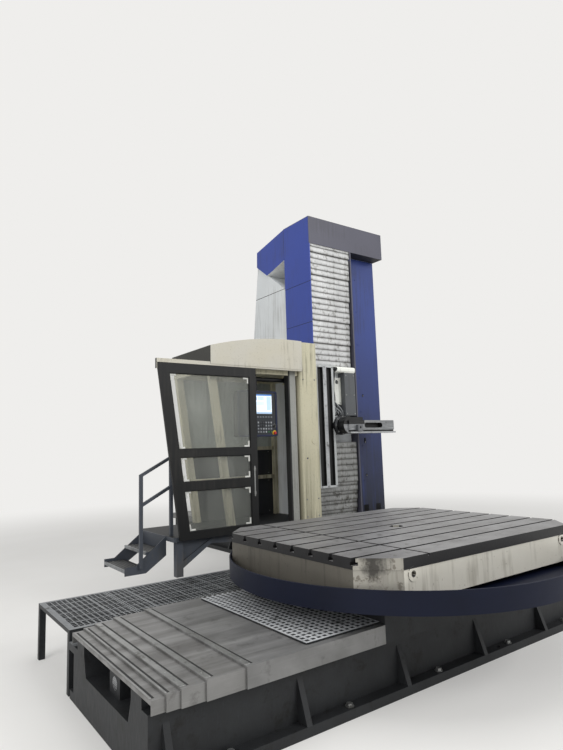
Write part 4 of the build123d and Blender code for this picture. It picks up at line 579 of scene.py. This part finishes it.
def fillGrating(fill):
    # bearing bars on edge with thin cross rods; tops worn bright by boots
    mesh = bmesh.new()
    (left, right), (front, rear) = fill["x"], fill["y"]
    for i in range(int((right - left) / fill["barPitch"])):
        x = left + i * fill["barPitch"]
        addBlock(mesh, (x, front - 0.03, fill["low"]), (x + fill["bar"], rear + 0.03, fill["top"]))
    for i in range(int((rear - front) / fill["rodPitch"]) + 1):
        y = front + i * fill["rodPitch"]
        addBlock(mesh, (left - 0.03, y, fill["top"] - 0.014), (right + 0.03, y + fill["bar"], fill["top"] + 0.0003))
    worn = makeFinish("wornBarGrating", steelLook, gratingSteel, [({"nz": (0.5, 2)}, steelLook, wornBar)])
    keepMesh(mesh, "gratingBars", worn, "bed")


fillGrating(gratingFill)

matWeave = {"x": (-3.045, -2.415), "y": (-0.695, 0.695), "pitch": 0.048, "bar": 0.015, "top": 0.5135}


def weaveMat(weave):
    # moulded anti-fatigue mat: open squares, rounded bars, dirt in the holes
    mesh = bmesh.new()
    (left, right), (front, rear) = weave["x"], weave["y"]
    for i in range(int((right - left) / weave["pitch"]) + 1):
        x = left + i * weave["pitch"]
        addBlock(mesh, (x, front, 0.5085), (x + weave["bar"], rear, weave["top"]))
    for i in range(int((rear - front) / weave["pitch"]) + 1):
        y = front + i * weave["pitch"]
        addBlock(mesh, (left, y, 0.5085), (right, y + weave["bar"], weave["top"] + 0.0004))
    roundEdges(mesh, 0.002, 1)
    keepMesh(mesh, "matBars", makeFinish("mouldedMatBars", steelLook, wornMatBar), "saddle")


weaveMat(matWeave)
print("grating and mat filled")

coverEdges = {
    "thick": 0.003, "lip": 0.016, "lipHigh": 0.0003, "screws": 9, "screwRadius": 0.0065, "sideGap": 0.03,
    # name, outer ends, which way it closes, middle, strip widths: each narrower than the ends ever nest
    "runs": [
        ("x_cover_left", (-3.51, -3.7575, -3.9005, -3.98025, -4.06), (1, 0), 0.0, (0.04, 0.04, 0.04, 0.0155, 0.0155)),
        ("x_cover_right", (0.76, 1.86, 2.96, 4.06), (-1, 0), 0.0, (0.04, 0.0155, 0.0155, 0.0155)),
        ("z_cover_front", (1.2, 0.976, 0.752), (0, 1), 0.31, (0.04, 0.022, 0.022)),
        ("z_cover_rear", (5.37, 6.145, 6.92), (0, -1), 0.31, (0.04, 0.022, 0.022)),
    ],
}


def edgeCovers(edge):
    # each cover ends in a screwed steel strip; the wiper's flat lip lies behind it
    for run, ends, inward, middle, widths in edge["runs"]:
        for level, (end, width) in enumerate(zip(ends, widths)):
            node, step = f"{run}_{level + 1}", inward[0] + inward[1]
            top, reach = 0.5 - 0.012 * level, 0.75 - 0.012 * level - edge["sideGap"]
            parts = {"strip": (0.002, width, edge["thick"], zinc),
                     "wiper": (width, width + edge["lip"], edge["lipHigh"], rubber)}
            for part, (near, far, proud, finish) in parts.items():
                mesh = bmesh.new()
                first, last = sorted((end + step * near, end + step * far))
                low, high = (first, middle - reach), (last, middle + reach)
                if inward[1]:
                    low, high = low[::-1], high[::-1]
                addBlock(mesh, (*low, top - 0.0005), (*high, top + proud))
                if part == "strip":
                    roundEdges(mesh, 0.0012)
                    for i in range(edge["screws"]):
                        across = middle + reach * (2 * (i + 0.5) / edge["screws"] - 1)
                        along = end + step * width * 0.55
                        place = (across, along) if inward[1] else (along, across)
                        addStud(mesh, (*place, top + proud), (0, 0, 1), min(edge["screwRadius"], width * 0.3), 0.0016,
                                12, 0.8)
                keepMesh(mesh, f"{node}_{part}", finish, bodyOf[node])


edgeCovers(coverEdges)
print("cover strips and wipers made")

doorLook = {
    "topLeft": -2.748, "slope": (-2.484 + 2.748) / (2.6997 - 0.715), "top": 2.6997, "right": -1.44,
    "stiles": (0.13, 0.095), "windows": ((0.8, 1.252), (1.35, 1.63), (1.718, 2.584)), "pane": 2.258,
    "arm": 0.075, "width": 0.022, "seal": 0.009,
}


def dressDoor(door):
    # white corner clips hold the panes, a black seal runs round each window
    clips, seals = bmesh.new(), bmesh.new()
    for low, high in door["windows"]:
        lefts = [door["topLeft"] + door["slope"] * (door["top"] - z) + door["stiles"][0] for z in (low, high)]
        right = door["right"] - door["stiles"][1]
        corners = [Vector((lefts[0], 0, low)), Vector((right, 0, low)), Vector((right, 0, high)),
                   Vector((lefts[1], 0, high))]
        front, back = Vector((0, door["pane"] - 0.008, 0)), Vector((0, door["pane"] + 0.0005, 0))
        for i, corner in enumerate(corners):
            after, before = corners[(i + 1) % 4] - corner, corners[i - 1] - corner
            a, b = after.normalized(), before.normalized()
            inset = door["seal"] * 0.6 * (a + b)
            base = corner + inset
            w, r = door["width"], min(door["arm"], 0.4 * after.length, 0.4 * before.length)
            path = [base, base + a * r, base + a * r + b * w, base + a * w + b * w, base + b * r + a * w, base + b * r]
            face = clips.faces.new([clips.verts.new(q + back) for q in path])
            raised = bmesh.ops.extrude_face_region(clips, geom=[face])["geom"]
            bmesh.ops.translate(clips, vec=(0, -0.006, 0), verts=[v for v in raised if isinstance(v, bmesh.types.BMVert)])
            side, along = corner, after
            seal = [side + back, side + along + back, side + along + front, side + front]
            run = seals.faces.new([seals.verts.new(q) for q in seal])
            raised = bmesh.ops.extrude_face_region(seals, geom=[run])["geom"]
            bmesh.ops.translate(seals, vec=b * door["seal"], verts=[v for v in raised if isinstance(v, bmesh.types.BMVert)])
    for mesh in (clips, seals):
        bmesh.ops.recalc_face_normals(mesh, faces=mesh.faces)
        roundEdges(mesh, 0.0012, 1)
    keepMesh(clips, "doorClips", makeFinish("clipNylonWhite", paintLook, whiteNylon), "door")
    keepMesh(seals, "doorSeals", rubber, "door")
    # bow handle on the closing stile: two feet and a round grip
    mesh = bmesh.new()
    x = door["right"] - 0.048
    addBlock(mesh, (x - 0.013, 2.2275, 1.43), (x + 0.013, 2.2375, 1.47))
    addBlock(mesh, (x - 0.013, 2.2275, 1.15), (x + 0.013, 2.2375, 1.19))
    roundEdges(mesh, 0.003)
    bmesh.ops.create_cone(mesh, cap_ends=True, segments=20, radius1=0.0085, radius2=0.0085, depth=0.36,
                          matrix=Matrix.Translation((x, 2.2275 + 0.0085, 1.31)))
    keepMesh(mesh, "doorHandle", zinc, "door")


dressDoor(doorLook)
print("door dressed")

consoleLook = {
    "x": (-1.59, -0.99), "z": (1.85, 2.44), "front": 2.435, "screen": (-1.395, -1.065, 2.14, 2.40), "keyX": -1.37,
    "keyZ": 1.91, "pitch": 0.04, "knob": (-1.035, 1.985), "stop": (-1.035, 1.895),
}


def displayFinish(name):
    # lit LCD behind anti-glare film: pale page, blue head and bars, no lettering
    material, tree, shader = newMaterial(name, Roughness=0.3, Emission_Strength=0.6)
    place = addNode(tree, "ShaderNodeTexCoord").outputs["Object"]
    page = addNode(tree, "ShaderNodeTexNoise", None, Vector=place, Scale=9.0, Detail=2.0)
    colour = addNode(tree, "ShaderNodeValToRGB", {"stops": [(0.35, "#e6f1fa"), (0.65, "#f3f9fd")]},
                     Fac=page.outputs[0]).outputs[0]
    for zone, paint in (({"z": (2.376, 2.41)}, "#4f7fc0"), ({"x": (-1.378, -1.3), "z": (2.318, 2.366)}, "#7fa6d6"),
                        ({"x": (-1.285, -1.19), "z": (2.318, 2.366)}, "#c4d9ee"),
                        ({"x": (-1.378, -1.19), "z": (2.252, 2.3)}, "#cfe0f0"),
                        ({"x": (-1.15, -1.08), "z": (2.19, 2.366)}, "#b5cfe8"),
                        ({"x": (-1.378, -1.19), "z": (2.19, 2.24)}, "#dbe8f4"), ({"z": (2.13, 2.166)}, "#9fb9d4")):
        mask = zoneMask(tree, place, zone)
        colour = addNode(tree, "ShaderNodeMix", {"data_type": "RGBA"}, i0=mask, i6=colour, i7=tone(paint)).outputs[2]
    tree.links.new(colour, shader.inputs["Base Color"])
    tree.links.new(colour, shader.inputs["Emission Color"])
    return material


def dressConsole(look):
    left, right, low, high = look["screen"]
    front = look["front"]
    mesh = bmesh.new()
    addBlock(mesh, (left + 0.004, front + 0.0015, low + 0.004), (right - 0.004, front + 0.0055, high - 0.004))
    roundEdges(mesh, 0.001)
    keepMesh(mesh, "consoleDisplay", displayFinish("litDisplay"), "console")
    # moulded bezel round the display, with soft keys below it
    mesh = bmesh.new()
    for lowCorner, highCorner in (((left - 0.014, low - 0.014), (right + 0.014, low + 0.003)),
                                  ((left - 0.014, high - 0.003), (right + 0.014, high + 0.014)),
                                  ((left - 0.014, low), (left + 0.003, high)),
                                  ((right - 0.003, low), (right + 0.014, high))):
        addBlock(mesh, (lowCorner[0], front - 0.004, lowCorner[1]), (highCorner[0], front + 0.003, highCorner[1]))
    roundEdges(mesh, 0.0015)
    keepMesh(mesh, "consoleBezel", makeFinish("bezelBlack", paintLook, blackPolyamide), "console")
    # key caps: pale, two mid grey groups, a few coloured ones
    groups = {"keyCapsPale": (dict(keyPlastic, colour="#a9adb1", faded="#999da1"), []),
              "keyCapsGrey": (keyPlastic, []), "keyCapsDark": (dict(keyPlastic, colour="#3b3e43", faded="#33363a"), []),
              "keyCapsGreen": (dict(keyPlastic, colour="#2a5f3a", faded="#255333"), [])}
    for column in range(8):
        for row in range(4):
            name = ("keyCapsGreen" if (column, row) in ((7, 0), (6, 0)) else "keyCapsDark" if column in (3, 4) and row > 1
                    else "keyCapsPale" if (column + row) % 5 < 2 else "keyCapsGrey")
            groups[name][1].append((look["keyX"] + column * look["pitch"], look["keyZ"] + row * look["pitch"]))
    groups["keyCapsGrey"][1].extend((left + 0.02 + i * 0.042, low - 0.038) for i in range(8))
    for name, (plastic, spots) in groups.items():
        mesh = bmesh.new()
        for x, z in spots:
            high = 0.011 if z < low - 0.06 else 0.007
            base = front - 0.005 if z < low - 0.06 else front
            addBlock(mesh, (x - 0.0115, base - 0.003, z - high), (x + 0.0115, base + 0.001, z + high))
        roundEdges(mesh, 0.002)
        keepMesh(mesh, name, makeFinish(name, paintLook, plastic), "console")
    # yellow collar behind the stop button, graduated ring behind the knob
    mesh = bmesh.new()
    x, z = look["stop"]
    addStud(mesh, (x, front + 0.0005, z), (0, -1, 0), 0.034, 0.0025, 32)
    keepMesh(mesh, "stopCollar", makeFinish("collarYellow", paintLook, yellowEnamel), "console")
    mesh = bmesh.new()
    x, z = look["knob"]
    addStud(mesh, (x, front + 0.0005, z), (0, -1, 0), 0.03, 0.0008, 32)
    keepMesh(mesh, "knobScale", makeFinish("scaleBlack", paintLook, blackPolyamide), "console")
    mesh = bmesh.new()
    for i in range(11):
        angle = math.radians(-135 + 27 * i)
        turn = Matrix.Translation((x, 0, z)) @ Matrix.Rotation(angle, 4, "Y")
        verts = addBlock(mesh, (-0.0008, front - 0.0011, 0.0215), (0.0008, front - 0.0001, 0.0275))
        bmesh.ops.transform(mesh, matrix=turn, verts=verts)
    keepMesh(mesh, "knobTicks", makeFinish("tickWhite", paintLook, whiteNylon), "console")
    # navy guard rail round the case edge
    mesh = bmesh.new()
    (x0, x1), (z0, z1) = look["x"], look["z"]
    bmesh.ops.create_grid(mesh, x_segments=1, y_segments=1, size=0.5)
    bmesh.ops.transform(mesh, matrix=Matrix.Translation(((x0 + x1) / 2, front - 0.0075, (z0 + z1) / 2))
                        @ Matrix.Rotation(math.pi / 2, 4, "X") @ Matrix.Diagonal((x1 - x0, z1 - z0, 1, 1)), verts=mesh.verts)
    bmesh.ops.bevel(mesh, geom=mesh.verts[:], offset=0.028, offset_type="OFFSET", segments=5, profile=0.5,
                    affect="VERTICES", material=-1)
    sheet = mesh.faces[:][0]
    bmesh.ops.inset_region(mesh, faces=[sheet], thickness=0.024, use_boundary=True, use_even_offset=True)
    bmesh.ops.delete(mesh, geom=[sheet], context="FACES_ONLY")
    raised = bmesh.ops.extrude_face_region(mesh, geom=mesh.faces[:])["geom"]
    bmesh.ops.translate(mesh, vec=(0, 0.0085, 0), verts=[v for v in raised if isinstance(v, bmesh.types.BMVert)])
    bmesh.ops.recalc_face_normals(mesh, faces=mesh.faces)
    roundEdges(mesh, 0.002, 2, [e for e in mesh.edges if e.calc_face_angle(0) > 0.6])
    rail = {"colour": "#162042", "faded": "#131b38", "grime": "#262624", "rough": 0.45, "shine": 0.3}
    keepMesh(mesh, "consoleRail", makeFinish("railNavy", paintLook, rail), "console")


dressConsole(consoleLook)
print("console dressed")

trayRim = {"centre": (-1.45, 0.0), "outer": 1.4895, "inner": 1.4775, "low": 0.782, "top": 0.7935}


def rollRim(rim):
    # the sheet's upper edge is rolled over, so it never cuts a hand
    mesh = bmesh.new()
    x, y = rim["centre"]
    ring = [mesh.verts.new((x + r, y, z)) for r, z in ((rim["inner"], rim["low"]), (rim["outer"], rim["low"]),
                                                       (rim["outer"], rim["top"]), (rim["inner"], rim["top"]))]
    loop = [mesh.edges.new((ring[i], ring[(i + 1) % 4])) for i in range(4)]
    bmesh.ops.bevel(mesh, geom=ring, offset=0.003, offset_type="OFFSET", segments=2, profile=0.5, affect="VERTICES",
                    material=-1)
    bmesh.ops.spin(mesh, geom=mesh.verts[:] + mesh.edges[:], cent=(x, y, 0), axis=(0, 0, 1), angle=math.tau, steps=144,
                   use_merge=True)
    bmesh.ops.remove_doubles(mesh, verts=mesh.verts, dist=0.00005)
    bmesh.ops.recalc_face_normals(mesh, faces=mesh.faces)
    keepMesh(mesh, "trayRim", finishes["navy_paint"], "saddle")


rollRim(trayRim)

fastenings = {  # piece: body, material slot, bolt size, then place and facing of each
    "frameBolts": ("headstock", "panel_grey_paint", 0.011, [
        ((x, 2.3, z), (0, -1, 0)) for z in (2.795, 1.162) for x in (-0.37, -0.255, -0.11)] + [
        ((-0.255, 2.3, z), (0, -1, 0)) for z in (1.45, 1.75, 2.25, 2.55)]),
    "panelScrews": ("headstock", "panel_grey_paint", 0.009, [
        ((x, 2.33, z), (0, -1, 0)) for x in (0.165, 0.315) for z in (2.15, 2.42, 2.7)]),
    "plateScrews": ("headstock", "panel_grey_paint", 0.007, [
        ((x, 2.426, z), (0, -1, 0)) for x, z in ((0.035, 2.31), (0.125, 2.31), (0.035, 2.65))]),
    "noseScrews": ("sleeve", "machined_steel", 0.011, [
        ((0.118 * math.cos(math.radians(a)), 2.25, 1.98 + 0.118 * math.sin(math.radians(a))), (0, -1, 0))
        for a in range(0, 360, 45)]),
    "wallRivets": ("column", "cream_paint", 0.006, [
        ((-0.56 - 0.2 * i, 3.294, z), (0, -1, 0)) for i in range(7) for z in (0.8, 1.235, 1.345, 1.645)]),
    "postBolts": ("column", "cream_paint", 0.010, [
        ((x, 2.28, z), (0, -1, 0)) for x in (-0.655, -0.46) for z in (0.8, 1.02, 2.6)]),
    "sledBolts": ("column", "bed_iron", 0.02, [
        ((1.06, 2.4 + 0.3 * i, 0.62), (1, 0, 0)) for i in range(7)] + [
        ((-0.44, 3.3 + 0.3 * i, 0.62), (-1, 0, 0)) for i in range(4)] + [
        ((-0.36 + 0.27 * i, 4.35, 0.62), (0, 1, 0)) for i in range(6)]),
    "footBolts": ("bed", "bed_iron", 0.026, [
        ((-3.6 + 0.88 * i, side * 0.705, 0.06), (0, 0, 1)) for i in range(9) for side in (-1, 1)]),
}


def addFastenings(sets):
    for name, (body, slotName, size, spots) in sets.items():
        mesh = bmesh.new()
        for place, facing in spots:
            addBolt(mesh, place, facing, size)
        keepMesh(mesh, name, zinc, body)


addFastenings(fastenings)

ventLook = {"x": (0.655, 0.905), "z": 0.78, "half": 0.0475, "front": 2.5405, "slats": 6}


def addVents(vent):
    # two black louvres close the square openings near the column's foot
    mesh = bmesh.new()
    for x in vent["x"]:
        for i in range(vent["slats"]):
            z = vent["z"] - vent["half"] + (i + 0.5) * 2 * vent["half"] / vent["slats"]
            verts = addBlock(mesh, (x - vent["half"], vent["front"] + 0.0005, z - 0.006),
                             (x + vent["half"], vent["front"] + 0.0015, z + 0.006))
            bmesh.ops.rotate(mesh, verts=verts, cent=(x, vent["front"] + 0.001, z),
                             matrix=Matrix.Rotation(math.radians(20), 3, "X"))
        addBlock(mesh, (x - vent["half"], 2.5445, vent["z"] - vent["half"]),
                 (x + vent["half"], 2.5458, vent["z"] + vent["half"]))
    keepMesh(mesh, "coverLouvres", makeFinish("louvreBlack", paintLook, blackPowder), "column")


addVents(ventLook)
print("bolts, rim and louvres made")

headLines = {  # on the headstock's face: a cable gland, then rigid lines with radius and route
    "gland": {"place": (-0.055, 2.322, 2.782), "radius": 0.03, "length": 0.05, "ribs": 14},
    "conduits": {
        "glandConduit": (0.014, "ribbed", ((-0.055, 2.335, 2.765), (-0.02, 2.37, 2.70), (-0.028, 2.385, 2.60),
                                           (-0.035, 2.385, 2.48), (-0.012, 2.385, 2.38), (-0.03, 2.375, 2.30))),
        "oilPipeUpper": (0.011, "smooth", ((-0.03, 2.375, 2.32), (0.02, 2.35, 2.262), (0.085, 2.35, 2.2),
                                           (0.118, 2.37, 2.15), (0.125, 2.4, 2.1), (0.125, 2.433, 2.095))),
        "oilPipeLower": (0.011, "smooth", ((-0.05, 2.375, 2.25), (0.0, 2.345, 2.21), (0.06, 2.345, 2.165),
                                           (0.1, 2.375, 2.13), (0.1, 2.433, 2.125))),
    },
}


def tubeAlong(name, points, radius):
    # a round tube on one smooth curve, made a mesh
    curve = bpy.data.curves.new(name, "CURVE")
    curve.dimensions, curve.bevel_depth, curve.bevel_resolution, curve.resolution_u = "3D", radius, 3, 8
    curve.use_fill_caps = True
    run = curve.splines.new("NURBS")
    run.points.add(len(points) - 1)
    for point, place in zip(run.points, points):
        point.co = (*place, 1.0)
    run.order_u, run.use_endpoint_u = 3, True
    holder = bpy.data.objects.new(name, curve)
    mesh = bmesh.new()
    data = bpy.data.meshes.new_from_object(holder)
    mesh.from_mesh(data)
    bpy.data.objects.remove(holder)
    bpy.data.meshes.remove(data)
    bmesh.ops.recalc_face_normals(mesh, faces=mesh.faces)
    return mesh


def runLines(lines):
    ribbed = {"colour": "#0d0e10", "faded": "#17181b", "grime": "#4c4943", "rough": 0.5, "shine": 0.4}
    grey = {"colour": "#8f9294", "faded": "#7a7d7f", "grime": "#393733", "rough": 0.4, "runDepth": 0.5}
    finish = {"ribbed": makeFinish("conduitPolyamide", paintLook, ribbed), "smooth": makeFinish("pipeEnamelGrey", paintLook, grey)}
    for name, (radius, kind, points) in lines["conduits"].items():
        keepMesh(tubeAlong(name, points, radius), name, finish[kind], "headstock")
    gland = lines["gland"]
    mesh = bmesh.new()
    x, y, z = gland["place"]
    for i in range(4):
        addStud(mesh, (x - 0.03 + i * 0.017, y, z), (1, 0, 0), gland["radius"] * (1.0 if i % 2 else 0.82), 0.013,
                gland["ribs"])
    addStud(mesh, (x, y, z + 0.005), (0, 0, -1), gland["radius"] * 0.66, 0.045, 6)
    roundEdges(mesh, 0.0015, 1)
    keepMesh(mesh, "cableGland", finish["ribbed"], "headstock")


runLines(headLines)

coverLatches = {"x": 0.69, "z": ((2.425, 2.46), (1.73, 1.805), (1.24, 1.275)), "width": 0.03, "front": 2.54}


def addLatches(latch):
    # sunk slam latches hold the guard; a small dark slot and a steel tongue
    cups, tongues = bmesh.new(), bmesh.new()
    for low, high in latch["z"]:
        x0, x1 = latch["x"] - latch["width"] / 2, latch["x"] + latch["width"] / 2
        addBlock(cups, (x0, latch["front"] - 0.004, low), (x1, latch["front"] + 0.002, high))
        addBlock(tongues, (x0 + 0.009, latch["front"] - 0.007, low + 0.006), (x1 - 0.009, latch["front"] - 0.002, low + 0.019))
    roundEdges(cups, 0.003, 2)
    roundEdges(tongues, 0.0012, 1)
    keepMesh(cups, "latchCups", makeFinish("latchEnamelBlack", paintLook, latchBlack), "column")
    keepMesh(tongues, "latchTongues", zinc, "column")


addLatches(coverLatches)

hatchLook = {
    "sides": (  # sheet covers over the casting's openings: low and high corner, then the way each faces
        ((1.0195, 3.02, 0.95), (1.027, 3.5, 1.55), (1, 0, 0)), ((1.0195, 3.04, 1.95), (1.027, 3.4, 2.5), (1, 0, 0)),
        ((1.0195, 3.04, 2.95), (1.027, 3.3, 3.4), (1, 0, 0)), ((-0.407, 3.4, 0.95), (-0.3995, 3.88, 1.55), (-1, 0, 0))),
    "rear": (((0.03, -0.0005, 0.35), (0.59, 0.007, 0.95), (0, 1, 0)), ((0.03, -0.0005, 1.45), (0.59, 0.007, 2.05), (0, 1, 0))),
    "rearFoot": (4.28, 0.7), "rearWaist": (3.84, 3.43), "inset": 0.03, "bolt": 0.011,
}


def addHatches(look, plates, names, slope=Matrix()):
    mesh, bolts = bmesh.new(), bmesh.new()
    for low, high, facing in plates:
        addBlock(mesh, low, high)
        across = [axis for axis in range(3) if not facing[axis]]
        for spot in ((u, v) for u in (0, 0.5, 1) for v in (0, 0.5, 1) if (u, v) != (0.5, 0.5)):
            place = list(high if sum(facing) > 0 else low)
            for axis, share in zip(across, spot):
                first, last = low[axis] + look["inset"], high[axis] - look["inset"]
                place[axis] = first + share * (last - first)
            addBolt(bolts, place, facing, look["bolt"])
    roundEdges(mesh, 0.003, 2)
    for part in (mesh, bolts):
        bmesh.ops.transform(part, matrix=slope, verts=part.verts)
    plate = dict(greyEnamel, colour="#cfd3d5", faded="#c0c4c6", runDepth=0.5)
    keepMesh(mesh, names[0], makeFinish("hatchEnamel", paintLook, plate), "column")
    keepMesh(bolts, names[1], zinc, "column")


addHatches(hatchLook, hatchLook["sides"], ("castingHatches", "hatchBolts"))
(footY, footZ), (waistY, waistZ) = hatchLook["rearFoot"], hatchLook["rearWaist"]
lean = Matrix.Rotation(math.atan2(footY - waistY, waistZ - footZ), 4, "X")
addHatches(hatchLook, hatchLook["rear"], ("rearHatches", "rearHatchBolts"), Matrix.Translation((0, footY, footZ)) @ lean)

stepNosing = {"treads": ((-2.78, 0.6), (-3.02, 0.44)), "y": (2.502, 3.148), "width": 0.02, "proud": 0.003}


def noseSteps(nosing):
    # bright worn angle on each tread's edge, chequer studs behind it
    edges, studs = bmesh.new(), bmesh.new()
    for x, z in nosing["treads"]:
        addBlock(edges, (x - 0.002, nosing["y"][0], z - 0.03), (x + nosing["width"], nosing["y"][1], z + nosing["proud"]))
        for i in range(5):
            for j in range(15):
                spot = (x + 0.05 + i * 0.036, nosing["y"][0] + 0.04 + j * 0.04 + (i % 2) * 0.02, z)
                addStud(studs, spot, (0, 0, 1), 0.008, 0.002, 6, 0.6)
    roundEdges(edges, 0.0015, 1)
    keepMesh(edges, "stepNosings", makeFinish("nosingWornSteel", steelLook, wornBar), "column")
    keepMesh(studs, "treadStuds", makeFinish("treadStudSteel", steelLook, zincSteel), "column")


noseSteps(stepNosing)
print("lines, latches, hatches and nosings made")
